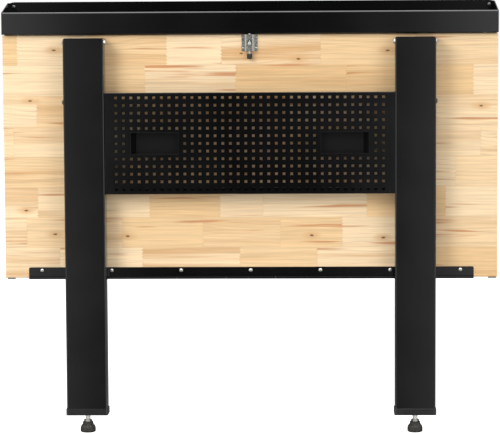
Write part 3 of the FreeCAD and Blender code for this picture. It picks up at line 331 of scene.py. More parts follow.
def end_grain(tree, axes, strips_up, tint):
    """Wood as it looks on the sawn ends: arcs of year rings round the heart of the trunk."""
    from_heart = wire(tree, "ShaderNodeCombineXYZ", {
        "Y": maths(tree, "ADD", axes["Y"], heart_depth), "Z": maths(tree, "ADD", maths(
            tree, "MULTIPLY", strips_up, strip_height), maths(tree, "MULTIPLY", tint[2], heart_drift))})
    year_rings = wire(tree, "ShaderNodeTexWave", {
        "Vector": from_heart.outputs[0], "Scale": year_ring_size, "Distortion": 1.5, "Detail": 2.0,
        "Detail Scale": 3.0}, wave_type="RINGS", rings_direction="X").outputs[1]
    return blend_colours(tree, soft_step(tree, year_rings, *year_ring_part), straw, late_wood)


wood, tree, shader, place = new_material("sealed_softwood", cream[:3], 0.45)
axes = parts_of(tree, place)
strips_up = maths(tree, "DIVIDE", maths(tree, "SUBTRACT", axes["Z"], board_low.z), strip_height)
block_colour, from_block_end = glued_blocks(tree, axes, strips_up)
tint = channels_of(tree, block_colour)
shift = wire(tree, "ShaderNodeVectorMath", {0: block_colour, 1: block_shift},
             operation="MULTIPLY").outputs[0]
in_block = wire(tree, "ShaderNodeVectorMath", {0: place, 1: shift}, operation="ADD").outputs[0]
fibre = speckle(tree, stretched(tree, in_block, fibre_size), 1.0, 4.0, 0.6)
grain = knotted(tree, place, axes, long_grain(tree, axes, in_block, tint, fibre))
glue_line = maths(tree, "MAXIMUM", soft_step(tree, maths(tree, "PINGPONG", strips_up, 0.5), *strip_glue),
                  soft_step(tree, from_block_end, *block_glue))
grain = blend_colours(tree, glue_line, grain, late_wood)
facing = parts_of(tree, wire(tree, "ShaderNodeNewGeometry").outputs["Normal"])["X"]
end_share = soft_step(tree, maths(tree, "ABSOLUTE", facing), *end_facing)
tree.links.new(blend_colours(tree, end_share, grain, end_grain(tree, axes, strips_up, tint)),
               shader.inputs["Base Color"])
tree.links.new(soft_step(tree, fibre, *fibre_gloss), shader.inputs["Roughness"])
relief = maths(tree, "SUBTRACT", fibre, maths(tree, "MULTIPLY", glue_line, glue_groove))
raise_surface(tree, shader, relief, *grain_relief)
dress(wood, "worktop")

# Steel frame: bottom rail, legs, brackets and foot plates of bent and welded
# sheet, under one black powder coat that rounds over every cut edge. Inside the tray
# and over the knuckles of the hinge its reflection is turned down as painted shade.
paint_black = (0.0026, 0.0026, 0.0027)
paint_worn = (0.0036, 0.0036, 0.0037, 1)
paint_gloss = (0.10, 0.14)
coat_relief = (0.05, 0.0001)
grit_size = 1500.0
flow_size = 260.0
cloud_size = 6.0
cloud_part = (0.3, 0.7)
unshaded_specular = 0.5
painted_shade_specular = 0.12
wall_to_inside = 0.003
floor_to_inside = 0.001
knuckle_reach = 0.0038
coat_radius = 0.00035
weld_reach = 0.00001
flat_angle = math.radians(0.5)
edge_angle = math.radians(35)
crease_angle = math.radians(50)
carriers = {node: body for body, nodes in frame["record"]["behaviour"]["bodies"].items() for node in nodes}


def middle_of(node):
    """The middle of a piece."""
    low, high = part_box(node)
    return (low + high) / 2


def mottle(tree, shader, cloud, smoothest, roughest):
    """Makes a surface smoother and rougher in clouds."""
    tree.links.new(soft_step(tree, cloud, *cloud_part, smoothest, roughest), shader.inputs["Roughness"])


def welded_skin(node):
    """The surface of a piece as one closed skin without doubled points."""
    skin = bmesh.new()
    skin.from_mesh(frame["nodes"][node].data)
    bmesh.ops.remove_doubles(skin, verts=skin.verts, dist=weld_reach)
    return skin


def evaluated_mesh(piece):
    """The mesh that a piece's modifiers make, with the modifiers taken off again."""
    bpy.context.view_layer.update()
    graph = bpy.context.evaluated_depsgraph_get()
    mesh = bpy.data.meshes.new_from_object(
        piece.evaluated_get(graph), preserve_all_data_layers=True, depsgraph=graph)
    piece.modifiers.clear()
    return mesh


def even_normals(mesh):
    """Leaves flat faces flat, and lets bends and rounded edges run into them without a crease."""
    faces_at = [[] for _ in mesh.vertices]
    for face in mesh.polygons:
        for corner in face.vertices:
            faces_at[corner].append(face.index)
    facings = [face.normal.copy() for face in mesh.polygons]
    weights = [face.area ** 2 for face in mesh.polygons]
    limit = math.cos(crease_angle)
    normals = []
    for face in mesh.polygons:
        facing = facings[face.index]
        for corner in face.vertices:
            total = Vector()
            for near in faces_at[corner]:
                if facings[near].dot(facing) > limit:
                    total += facings[near] * weights[near]
            normals.append(total.normalized() if total.length else facing)
    mesh.polygons.foreach_set("use_smooth", [True] * len(mesh.polygons))
    mesh.normals_split_custom_set(normals)


def put_on(name, mesh, slot, material, *nodes):
    """A finished piece on the body that carries the nodes it stands for."""
    even_normals(mesh)
    mesh.materials.clear()
    mesh.materials.append(material)
    piece = bpy.data.objects.new(name, mesh)
    bpy.context.scene.collection.objects.link(piece)
    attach(piece, carriers[nodes[0]])
    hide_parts(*nodes)


def soften(node, slot, material, radius=coat_radius, additions=(), cutters=()):
    """Stands for a piece with its sharp edges rounded over, skins added and skins cut away."""
    skin = welded_skin(node)
    bmesh.ops.dissolve_limit(skin, angle_limit=flat_angle, verts=skin.verts, edges=skin.edges)
    mesh = bpy.data.meshes.new(node + "_skin")
    skin.to_mesh(mesh)
    skin.free()
    blank = bpy.data.objects.new(node + "_blank", mesh)
    bpy.context.scene.collection.objects.link(blank)
    bevel = blank.modifiers.new("rounded edges", "BEVEL")
    bevel.width = radius
    bevel.segments = 2
    bevel.limit_method = "ANGLE"
    bevel.angle_limit = edge_angle
    mesh = evaluated_mesh(blank)
    bpy.data.objects.remove(blank)
    if additions:
        softened = bmesh.new()
        softened.from_mesh(mesh)
        mesh = joined_mesh(node, softened, *additions)
    if cutters:
        mesh = cut_away(mesh, *cutters)
    put_on(node + "_finished", mesh, slot, material, node)


frame_paint, tree, shader, place = new_material("black_powder_coat", paint_black, 0.16)
grit = speckle(tree, place, grit_size, 2.0, 0.6)
flow = speckle(tree, place, flow_size)
cloud = speckle(tree, place, cloud_size, 3.0, 0.55)
tree.links.new(blend_colours(tree, soft_step(tree, cloud, *cloud_part), (*paint_black, 1), paint_worn),
               shader.inputs["Base Color"])
mottle(tree, shader, maths(tree, "ADD", maths(tree, "MULTIPLY", grit, 0.5), maths(
    tree, "MULTIPLY", cloud, 0.5)), *paint_gloss)
axes = parts_of(tree, place)
# Painted shade: inside the tray and round the hinge knuckles the coat reflects less, standing in for the
# shade there.
inside_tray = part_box("tray")[0] + Vector((0, wall_to_inside, floor_to_inside))
in_tray = maths(tree, "MULTIPLY", maths(tree, "GREATER_THAN", axes["Y"], inside_tray.y),
                maths(tree, "GREATER_THAN", axes["Z"], inside_tray.z))
pin_line = middle_of("hinge_pin")
at_knuckles = maths(tree, "MULTIPLY", maths(tree, "COMPARE", axes["Y"], pin_line.y, knuckle_reach),
                    maths(tree, "COMPARE", axes["Z"], pin_line.z, knuckle_reach))
painted_shade = maths(tree, "MAXIMUM", in_tray, at_knuckles)
tree.links.new(soft_step(tree, painted_shade, 0.0, 1.0, unshaded_specular, painted_shade_specular), shader.inputs["Specular IOR Level"])
raise_surface(tree, shader, maths(tree, "ADD", flow, maths(tree, "MULTIPLY", grit, 0.4)), *coat_relief)
for node in ("bottom_rail", "leg_left", "leg_right", "leg_bracket_left", "leg_bracket_right",
             "catch_bracket_left", "catch_bracket_right", "foot_plate_left", "foot_plate_right"):
    soften(node, "frame_paint", frame_paint)

# Tray: painted sheet bent into a hemmed front wall, a floor and a taller back wall,
# with a drip edge in front and a flange behind that close the gaps over the top. Its
# back wall, end plates and side posts have their upper corners rounded together.
tray_sheet = 0.002
tray_bend = 0.002
tray_roll = 0.0034
hem_height = 0.012
hem_gap = 0.0005
drip_edge_drop = 0.0026
flange_drop = 0.012
flange_setback = 0.020
front_wall_height = 0.0505
bend_steps = 6
corner_width = 0.017
corner_height = 0.005
corner_overrun = 0.01
corner_steps = 10
slot_half_width = 0.005
slot_half_depth = 0.0042
tray_low, tray_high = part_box("tray")
end_plate_x = -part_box("tray_end_left")[0].x


def oblong(first, opposite):
    """The outline of a rectangle between two corners."""
    return [first, (opposite[0], first[1]), opposite, (first[0], opposite[1])]


def rounded_outline(corners):
    """Points of a closed outline. A corner is its place and, where it is bent, its radius."""
    points = []
    for number, corner in enumerate(corners):
        here = Vector(corner[:2])
        if len(corner) == 2:
            points.append(here)
            continue
        before = (Vector(corners[number - 1][:2]) - here).normalized()
        after = (Vector(corners[(number + 1) % len(corners)][:2]) - here).normalized()
        half_angle = before.angle(after) / 2
        radius = corner[2]
        middle = here + (before + after).normalized() * radius / math.sin(half_angle)
        start = here + before * radius / math.tan(half_angle) - middle
        end = here + after * radius / math.tan(half_angle) - middle
        for step in range(bend_steps + 1):
            share = step / bend_steps
            spoke = start.normalized().slerp(end.normalized(), share)
            points.append(middle + spoke * radius)
    return points


def prism(outline, axis, low, high):
    """A closed skin: an outline carried along X, Y or Z from low to high."""
    places = {"X": lambda a, b, c: (c, a, b), "Y": lambda a, b, c: (a, c, b),
              "Z": lambda a, b, c: (a, b, c)}
    skin = bmesh.new()
    rings = [[skin.verts.new(places[axis](a, b, level)) for a, b in outline] for level in (low, high)]
    count = len(outline)
    for number in range(count):
        after = (number + 1) % count
        skin.faces.new((rings[0][number], rings[0][after], rings[1][after], rings[1][number]))
    skin.faces.new(rings[0][::-1])
    skin.faces.new(rings[1])
    bmesh.ops.recalc_face_normals(skin, faces=skin.faces)
    return skin


def joined_mesh(name, *skins):
    """One mesh of several skins."""
    mesh = bpy.data.meshes.new(name)
    whole = bmesh.new()
    for skin in skins:
        skin.to_mesh(mesh)
        whole.from_mesh(mesh)
        skin.free()
    whole.to_mesh(mesh)
    whole.free()
    return mesh


def cut_away(mesh, *cutters):
    """The mesh with the space of each cutter taken out of it."""
    blank = bpy.data.objects.new(mesh.name, mesh)
    bpy.context.scene.collection.objects.link(blank)
    tools = []
    for skin in cutters:
        tool = bpy.data.objects.new("cutter", joined_mesh("cutter", skin))
        bpy.context.scene.collection.objects.link(tool)
        step = blank.modifiers.new("cut", "BOOLEAN")
        step.operation = "DIFFERENCE"
        step.solver = "EXACT"
        step.object = tool
        tools.append(tool)
    result = evaluated_mesh(blank)
    for used in [blank] + tools:
        bpy.data.objects.remove(used)
    return result


def top_corners():
    """What is cut off at the back wall to round its upper corners."""
    skins = []
    for side in (-1, 1):
        outer = side * (end_plate_x + corner_overrun)
        start = side * (end_plate_x - corner_width)
        top, foot = tray_high.z + corner_overrun, tray_high.z - corner_height
        arc = [(start + side * corner_width * math.sin(turn),
                tray_high.z - corner_height * (1 - math.cos(turn)))
               for turn in (math.pi / 2 * step / corner_steps for step in range(corner_steps + 1))]
        skins.append(prism(arc + [(outer, foot), (outer, top), (start, top)], "Y",
                           tray_low.y, tray_high.y + corner_overrun))
    return skins


fold = tray_low.y + tray_sheet
drip = tray_low.z - drip_edge_drop
floor_top = tray_low.z + tray_sheet
wall_top = tray_low.z + front_wall_height
hem = fold + hem_gap
hem_foot = wall_top - hem_height
back = tray_high.y - tray_sheet
trough = prism(rounded_outline([
    (tray_low.y, drip, tray_bend), (fold + tray_sheet, drip, tray_bend / 2), (fold + tray_sheet, tray_low.z),
    (tray_high.y, tray_low.z, tray_bend), (tray_high.y, tray_high.z), (back, tray_high.z), (back, floor_top),
    (fold, floor_top), (fold, wall_top - tray_sheet), (hem, wall_top - tray_sheet), (hem, hem_foot),
    (hem + tray_sheet, hem_foot), (hem + tray_sheet, wall_top, tray_bend / 2),
    (tray_low.y, wall_top, tray_roll)]), "X", tray_low.x, tray_high.x)
flange = prism(oblong((back, tray_low.z - flange_drop), (tray_high.y, tray_low.z)),
               "X", tray_low.x + flange_setback, tray_high.x - flange_setback)
drip_ends = [prism(oblong((tray_low.y, drip), (fold + tray_sheet, tray_low.z)), "X", *ends)
             for ends in ((-end_plate_x, tray_low.x), (tray_high.x, end_plate_x))]
keeper_y = middle_of("latch_rod").y
keeper_slot = prism(oblong((-slot_half_width, keeper_y - slot_half_depth),
                           (slot_half_width, keeper_y + slot_half_depth)),
                    "Z", tray_low.z - tray_sheet, floor_top + tray_sheet)
tray_mesh = cut_away(joined_mesh("tray_trough", trough, flange, *drip_ends), keeper_slot, *top_corners())
put_on("tray_trough", tray_mesh, "frame_paint", frame_paint, "tray")
for node in ("tray_end_left", "tray_end_right", "side_post_left", "side_post_right"):
    soften(node, "frame_paint", frame_paint, cutters=top_corners())

# Wood screws: zinc plated, with round heads and a cross recess, driven into the
# top through the hinge, the leg brackets, the catch brackets and the latch.
head_rim_share = 0.95
recess_share = 0.58
blade_share = 0.17
recess_depth_share = 0.6
head_sides = 32
shank_sides = 16
cutter_reach = 4.0
size_digits = 5
turn_step = 1.9
bloom_size = 120.0
plating_size = 1200.0
zinc_gloss = (0.26, 0.36)
zinc_relief = (0.08, 0.0001)
zinc_plain = (0.54, 0.53, 0.49)
zinc_bright = (0.56, 0.55, 0.51, 1)
zinc_dull = (0.43, 0.425, 0.39, 1)
head_turns = {("X", 1): (0, math.pi / 2, 0), ("X", -1): (0, -math.pi / 2, 0),
              ("Y", 1): (-math.pi / 2, 0, 0), ("Y", -1): (math.pi / 2, 0, 0),
              ("Z", 1): (0, 0, 0), ("Z", -1): (math.pi, 0, 0)}


def solids_of(node):
    """The points of each separate solid of a node, in the order in which the node holds them."""
    skin = welded_skin(node)
    left = dict.fromkeys(skin.verts)
    solids = []
    while left:
        reached = [left.popitem()[0]]
        found = []
        while reached:
            vert = reached.pop()
            found.append(vert.co.copy())
            for edge in vert.link_edges:
                other = edge.other_vert(vert)
                if other in left:
                    del left[other]
                    reached.append(other)
        solids.append(found)
    solids.reverse()
    skin.free()
    return solids


def span(points):
    """The lowest and the highest corner of the box round some points."""
    return (Vector([min(point[i] for point in points) for i in range(3)]),
            Vector([max(point[i] for point in points) for i in range(3)]))


def off_line(point, middle, axis):
    """How far a point lies from the line through a middle along X, Y or Z, as 0, 1 or 2."""
    return math.hypot(point[axis - 1] - middle[axis - 1], point[axis - 2] - middle[axis - 2])


def measure_fasteners(node):
    """The places and facings of a node's headed fasteners, by their sizes."""
    kinds = {}
    for points in solids_of(node):
        low, high = span(points)
        size, middle = high - low, (low + high) / 2
        axis = min(range(3), key=lambda i: abs(size[i - 1] - size[i - 2]) / size[i - 1])
        head_radius = max(off_line(point, middle, axis) for point in points)
        rim = [point[axis] for point in points
               if off_line(point, middle, axis) > head_radius * head_rim_share]
        facing = 1 if sum(rim) / len(rim) > middle[axis] else -1
        seat = min(rim) if facing > 0 else max(rim)
        head_end, far_end = (high, low) if facing > 0 else (low, high)
        shank_radius = max(off_line(point, middle, axis) for point in points
                           if abs(point[axis] - far_end[axis]) < weld_reach)
        sizes = (("Head Radius", head_radius), ("Head Height", abs(head_end[axis] - seat)),
                 ("Shank Radius", shank_radius), ("Shank Length", abs(seat - far_end[axis])))
        middle[axis] = seat
        kind = tuple((label, round(value, size_digits)) for label, value in sizes)
        places, turns = kinds.setdefault(kind, ([], []))
        places.append(middle)
        turns.append(head_turns["XYZ"[axis], facing])
    return kinds


def geometry_tree(name, *inputs):
    """A Geometry Nodes tree with named sizes, to be filled."""
    tree = bpy.data.node_groups.new(name, "GeometryNodeTree")
    tree.interface.new_socket("Geometry", in_out="INPUT", socket_type="NodeSocketGeometry")
    tree.interface.new_socket("Geometry", in_out="OUTPUT", socket_type="NodeSocketGeometry")
    for label in inputs:
        tree.interface.new_socket(label, in_out="INPUT", socket_type="NodeSocketFloat")
    tree.interface.new_socket("Finish", in_out="INPUT", socket_type="NodeSocketMaterial")
    return tree, tree.nodes.new("NodeGroupInput").outputs


def lifted(tree, shape, height):
    """A shape moved up."""
    offset = wire(tree, "ShaderNodeCombineXYZ", {2: height}).outputs[0]
    return wire(tree, "GeometryNodeTransform", {"Geometry": shape, "Translation": offset}).outputs[0]


def upright_box(tree, x, y, z):
    """A box about the middle, by its three sizes."""
    size = wire(tree, "ShaderNodeCombineXYZ", {0: x, 1: y, 2: z}).outputs[0]
    return wire(tree, "GeometryNodeMeshCube", {"Size": size}).outputs[0]


def upright_rod(tree, radius, length, sides=24):
    """A rod or prism about the middle, along Z."""
    return wire(tree, "GeometryNodeMeshCylinder", {
        "Vertices": sides, "Radius": radius, "Depth": length}, fill_type="NGON").outputs[0]


def squashed_ball(tree, radius, half_height, sides):
    """A ball about the middle, of its own half height."""
    ball = wire(tree, "GeometryNodeMeshUVSphere", {"Segments": sides, "Rings": sides // 2, "Radius": 1.0})
    girth = wire(tree, "ShaderNodeCombineXYZ", {0: radius, 1: radius, 2: half_height})
    return wire(tree, "GeometryNodeTransform", {
        "Geometry": ball.outputs[0], "Scale": girth.outputs[0]}).outputs[0]


def without(tree, shape, *cutters):
    """A shape less the cutters, one after another."""
    for cutter in cutters:
        shape = wire(tree, "GeometryNodeMeshBoolean", {"Mesh 1": shape, "Mesh 2": cutter},
                     operation="DIFFERENCE").outputs[0]
    return shape


def set_out(tree, given, shape):
    """Ends a tree: the shape at every place, each turned a little differently."""
    turn = wire(tree, "GeometryNodeInputNamedAttribute", {"Name": "turn"}, data_type="FLOAT_VECTOR")
    about = wire(tree, "GeometryNodeInputNamedAttribute", {"Name": "about"}, data_type="FLOAT")
    facing = wire(tree, "FunctionNodeEulerToRotation", {0: turn.outputs[0]}).outputs[0]
    own = wire(tree, "FunctionNodeEulerToRotation", {
        0: wire(tree, "ShaderNodeCombineXYZ", {2: about.outputs[0]}).outputs[0]}).outputs[0]
    both = wire(tree, "FunctionNodeRotateRotation", {0: facing, 1: own}, rotation_space="LOCAL").outputs[0]
    planted = wire(tree, "GeometryNodeInstanceOnPoints", {
        "Points": given["Geometry"], "Instance": shape, "Rotation": both}).outputs[0]
    real = wire(tree, "GeometryNodeRealizeInstances", {0: planted}).outputs[0]
    done = wire(tree, "GeometryNodeSetMaterial", {"Geometry": real, "Material": given["Finish"]}).outputs[0]
    wire(tree, "NodeGroupOutput", {"Geometry": done})


def plant(name, tree, places, turns, sizes, material, abouts=None):
    """The plain mesh that a tree makes at the given places."""
    seeds = bpy.data.meshes.new(name)
    seeds.from_pydata([tuple(place) for place in places], [], [])
    turned_by = seeds.attributes.new("turn", "FLOAT_VECTOR", "POINT")
    turned_by.data.foreach_set("vector", [value for turn in turns for value in turn])
    own_turn = seeds.attributes.new("about", "FLOAT", "POINT")
    own_turn.data.foreach_set("value", abouts or [turn_step * number for number in range(len(places))])
    piece = bpy.data.objects.new(name + "_places", seeds)
    bpy.context.scene.collection.objects.link(piece)
    modifier = piece.modifiers.new(name, "NODES")
    modifier.node_group = tree
    given = dict(sizes, Finish=material)
    for item in tree.interface.items_tree:
        if item.in_out == "INPUT" and item.name in given:
            modifier[item.identifier] = given[item.name]
    mesh = evaluated_mesh(piece)
    bpy.data.objects.remove(piece)
    return mesh


def head_tree(name, recess_sides):
    """A domed head with a cross or a socket in it, on a shank."""
    tree, given = geometry_tree(name, "Head Radius", "Head Height", "Shank Radius", "Shank Length")
    radius, height, length = given["Head Radius"], given["Head Height"], given["Shank Length"]
    wide = maths(tree, "MULTIPLY", radius, cutter_reach)
    under = lifted(tree, upright_box(tree, wide, wide, maths(tree, "MULTIPLY", height, cutter_reach)),
                   maths(tree, "MULTIPLY", height, -cutter_reach / 2))
    deep = maths(tree, "MULTIPLY", height, 2 * recess_depth_share)
    if recess_sides == 4:
        across = maths(tree, "MULTIPLY", radius, 2 * recess_share)
        blade = maths(tree, "MULTIPLY", radius, 2 * blade_share)
        recess = [upright_box(tree, across, blade, deep), upright_box(tree, blade, across, deep)]
    else:
        recess = [upright_rod(tree, maths(tree, "MULTIPLY", radius, recess_share), deep, recess_sides)]
    head = without(tree, squashed_ball(tree, radius, height, head_sides), under,
                   *[lifted(tree, cutter, height) for cutter in recess])
    shank = lifted(tree, upright_rod(tree, given["Shank Radius"], length, shank_sides),
                   maths(tree, "MULTIPLY", length, -0.5))
    both = wire(tree, "GeometryNodeJoinGeometry")
    tree.links.new(head, both.inputs[0])
    tree.links.new(shank, both.inputs[0])
    set_out(tree, given, both.outputs[0])
    return tree


def fasten(node, tree, slot, finish):
    """Puts detailed screws or bolts in the place of a node's plain ones."""
    whole = bmesh.new()
    for kind, (places, turns) in measure_fasteners(node).items():
        whole.from_mesh(plant(node, tree, places, turns, dict(kind), finish))
    mesh = bpy.data.meshes.new(node)
    whole.to_mesh(mesh)
    whole.free()
    put_on(node + "_fitted", mesh, slot, finish, node)


zinc, tree, shader, place = new_material("zinc_plate", zinc_plain, 0.3, 1.0)
bloom = speckle(tree, place, bloom_size, 3.0, 0.6)
tree.links.new(blend_colours(tree, soft_step(tree, bloom, *cloud_part), zinc_bright, zinc_dull),
               shader.inputs["Base Color"])
mottle(tree, shader, bloom, *zinc_gloss)
raise_surface(tree, shader, speckle(tree, place, plating_size), *zinc_relief)
cross_head = head_tree("cross_recess_screw", 4)
for node in ("hinge_screws", "bracket_screws", "catch_screws", "latch_screws"):
    fasten(node, cross_head, "zinc", zinc)

# Machine bolts: domed heads with a hexagon socket, black on the tray and stays
# and zinc plated on the rail, the panel and the leg pivots.
blackened_grey = (0.11, 0.11, 0.108)
socket_head = head_tree("socket_head_bolt", 6)
blackened = new_material("blackened_steel", blackened_grey, 0.28, 1.0)[0]
for node, slot, finish in (
        ("tray_bolts", "black_bolt", blackened), ("stay_bolts", "black_bolt", frame_paint),
        ("rail_bolts", "zinc", zinc), ("panel_bolts", "zinc", zinc), ("pivot_bolts", "zinc", zinc)):
    fasten(node, socket_head, slot, finish)

# Hexagon nuts: zinc plated, both faces chamfered at the corners, on the ends of
# the bolts and at the neck of each foot.
nut_face_share = 0.92
nut_belly_share = 1.12
nut_sides = 48
bore_reach = 2.0
corners_in_line = 1.9
nut_tree, given = geometry_tree("chamfered_nut", "Corner Radius", "Height", "Bore Radius")
radius, height = given["Corner Radius"], given["Height"]
crown_share = 0.5 / math.sqrt(1 - (nut_face_share / nut_belly_share) ** 2)
belly = squashed_ball(nut_tree, maths(nut_tree, "MULTIPLY", radius, nut_belly_share),
                      maths(nut_tree, "MULTIPLY", height, crown_share), nut_sides)
chamfered = nut_tree.nodes.new("GeometryNodeMeshBoolean")
chamfered.operation = "INTERSECT"
nut_tree.links.new(upright_rod(nut_tree, radius, height, 6), chamfered.inputs["Mesh 2"])
nut_tree.links.new(belly, chamfered.inputs["Mesh 2"])
bore = upright_rod(nut_tree, given["Bore Radius"], maths(nut_tree, "MULTIPLY", height, bore_reach))
set_out(nut_tree, given, without(nut_tree, chamfered.outputs[0], bore))


def measure_nuts(node, axis):
    """Where each nut of a node sits, how it is turned about its bore, and its sizes."""
    places, abouts = [], []
    for points in solids_of(node):
        low, high = span(points)
        middle, size = (low + high) / 2, high - low
        spokes = [off_line(point, middle, axis) for point in points]
        places.append(middle)
        across = size.z if axis == 0 else size.x
        abouts.append(0.0 if across > corners_in_line * max(spokes) else math.pi / 6)
        sizes = {"Corner Radius": max(spokes), "Height": size[axis], "Bore Radius": min(spokes)}
    return places, abouts, sizes


for node, axis in (("tray_nuts", 2), ("rail_nuts", 0), ("panel_nuts", 0), ("stay_nuts", 0),
                   ("pivot_nuts", 0), ("tray_stop_nuts", 2), ("foot_nut_left", 2), ("foot_nut_right", 2)):
    places, abouts, sizes = measure_nuts(node, axis)
    turns = [head_turns["XYZ"[axis], 1]] * len(places)
    put_on(node + "_fitted", plant(node, nut_tree, places, turns, sizes, zinc, abouts), "zinc", zinc, node)

# Small steel parts: the hook stays cut from flat steel, turned pins, rivets,
# spacers and stop screws, and the coiled latch spring, all zinc plated.
dress(zinc, "tray_stop_screws", "hinge_pin", "hinge_rivets", "stay_spacers", "catch_pins", "latch_spring")
for node in ("stay_left", "stay_right"):
    soften(node, "zinc", zinc)

# Tool panel: sheet steel with rows of square holes, bent at its edges, painted
# like the frame and bolted between the legs.
dress(frame_paint, "tool_panel")

# Continuous hinge: two leaves of painted sheet round one pin. The leaf on the
# top has a thin lip under it that covers the wood between the knuckles.
lip_low = 0.0024
lip_high = 0.0038
lip_sheet = 0.0004
leaf_low, leaf_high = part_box("hinge_moving_leaf")
lip = prism(oblong((leaf_high.y - lip_sheet, pin_line.z + lip_low), (leaf_high.y, pin_line.z + lip_high)),
            "X", leaf_low.x, leaf_high.x)
soften("hinge_fixed_leaf", "frame_paint", frame_paint, coat_radius / 2)
soften("hinge_moving_leaf", "frame_paint", frame_paint, coat_radius / 2, [lip])

# Finger cups and leg caps: moulded black plastic, the dull cups snapped into
# windows of the panel and the finely grained caps pushed over the leg ends.
cup_edge = 0.0005
cap_edge = 0.0007
cup_gloss = 0.12
cup_black = (0.0030, 0.0031, 0.0028)
cap_black = (0.0032, 0.0033, 0.0030)
cap_gloss = (0.20, 0.28)
cap_cloud_size = 25.0
mould_grain_size = 900.0
black_relief = (0.08, 0.0001)


def moulded_grain(tree, shader, place, strength, depth):
    """The fine grain that a mould leaves."""
    raise_surface(tree, shader, speckle(tree, place, mould_grain_size), strength, depth)


moulded_black, tree, shader, place = new_material("moulded_black", cap_black, 0.30)
mottle(tree, shader, speckle(tree, place, cap_cloud_size), *cap_gloss)
moulded_grain(tree, shader, place, *black_relief)
dull_black, tree, shader, place = new_material("dull_black", cup_black, 0.42)
shader.inputs["Specular IOR Level"].default_value = cup_gloss
moulded_grain(tree, shader, place, *black_relief)
for node, radius, finish in (
        ("hand_recess_left", cup_edge, dull_black), ("hand_recess_right", cup_edge, dull_black),
        ("leg_cap_left", cap_edge, moulded_black), ("leg_cap_right", cap_edge, moulded_black)):
    soften(node, "black_plastic", finish, radius)

# Feet: a zinc plated threaded stud in each leg, and a base of dark grey plastic
# moulded on its lower end, with grip flutes up its skirt and neck.
thread_pitch = 0.00175
thread_depth = 0.0004
thread_sides = 24
stud_chamfer = 0.0012
flute_count = 10
flute_depth = 0.0011
foot_sides = 80
foot_shine = 0.28
foot_gloss = (0.36, 0.48)
foot_grey = (0.024, 0.0228, 0.0192)
foot_cloud_size = 40.0
foot_relief = (0.2, 0.00015)
foot_rim = ((0.84, 0.0), (0.95, 0.04), (0.99, 0.10))
foot_profile = ((1.0, 0.18), (1.0, 0.30), (0.985, 0.45), (0.95, 0.53), (0.89, 0.62), (0.79, 0.71),
                (0.715, 0.77), (0.69, 0.83), (0.68, 0.96))


def on_circle(place, radius, turn, height):
    """A point on a level circle round an upright line."""
    return place.x + radius * math.cos(turn), place.y + radius * math.sin(turn), height


def turned(rings, place, sides):
    """A closed skin of rings, each a height with a radius that may be a function of the turn."""
    skin = bmesh.new()
    made = []
    for radius, height in rings:
        if radius == 0:
            made.append([skin.verts.new((place.x, place.y, height))])
            continue
        ring = []
        for side in range(sides):
            turn = 2 * math.pi * side / sides
            reach = radius(turn) if callable(radius) else radius
            ring.append(skin.verts.new(on_circle(place, reach, turn, height)))
        made.append(ring)
    for lower, upper in zip(made, made[1:]):
        for side in range(sides):
            after = (side + 1) % sides
            corners = [lower[side % len(lower)], lower[after % len(lower)],
                       upper[after % len(upper)], upper[side % len(upper)]]
            skin.faces.new(list(dict.fromkeys(corners)))
    bmesh.ops.recalc_face_normals(skin, faces=skin.faces)
    return skin


def thread(place, radius, low, high):
    """A rod with a helical thread and chamfered ends."""
    skin = bmesh.new()
    count = int((high - low) / (thread_pitch / 2))
    rings = []
    for number in range(count + 1):
        ring = []
        for side in range(thread_sides):
            turn = 2 * math.pi * side / thread_sides
            height = low + (high - low) * number / count + thread_pitch * side / thread_sides
            height = min(max(height, low), high)
            reach = radius if number % 2 else radius - thread_depth
            near_end = min(height - low, high - height)
            reach = min(reach, radius - thread_depth + near_end * thread_depth / stud_chamfer)
            ring.append(skin.verts.new(on_circle(place, reach, turn, height)))
        rings.append(ring)
    for lower, upper in zip(rings, rings[1:]):
        for side in range(thread_sides):
            after = (side + 1) % thread_sides
            skin.faces.new((lower[side], lower[after], upper[after], upper[side]))
    skin.faces.new(rings[0][::-1])
    skin.faces.new(rings[-1])
    bmesh.ops.recalc_face_normals(skin, faces=skin.faces)
    return skin


def fluted(radius, depth):
    """A radius that dips in evenly spaced flutes."""
    return lambda turn: radius - depth * max(0.0, math.cos(flute_count * turn)) ** 2


def fit(name, skin, slot, material, node):
    """A finished piece of one skin, in the place of its node."""
    put_on(name, joined_mesh(name, skin), slot, material, node)


moulded_grey, tree, shader, place = new_material("moulded_grey", foot_grey, 0.42)
shader.inputs["Specular IOR Level"].default_value = foot_shine
mottle(tree, shader, speckle(tree, place, foot_cloud_size), *foot_gloss)
moulded_grain(tree, shader, place, *foot_relief)
for side in ("left", "right"):
    low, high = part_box("foot_base_" + side)
    radius, height = (high.x - low.x) / 2, high.z - low.z
    rings = [(0, low.z)] + [(radius * share, low.z + level * height) for share, level in foot_rim]
    rings += [(fluted(radius * share, flute_depth), low.z + level * height)
              for share, level in foot_profile]
    rings += [(radius * foot_profile[-1][0] - flute_depth, high.z), (0, high.z)]
    fit("foot_pad_" + side, turned(rings, (low + high) / 2, foot_sides),
        "foot_plastic", moulded_grey, "foot_base_" + side)
    low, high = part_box("foot_stud_" + side)
    fit("foot_thread_" + side, thread((low + high) / 2, (high.x - low.x) / 2, low.z, high.z),
        "zinc", zinc, "foot_stud_" + side)

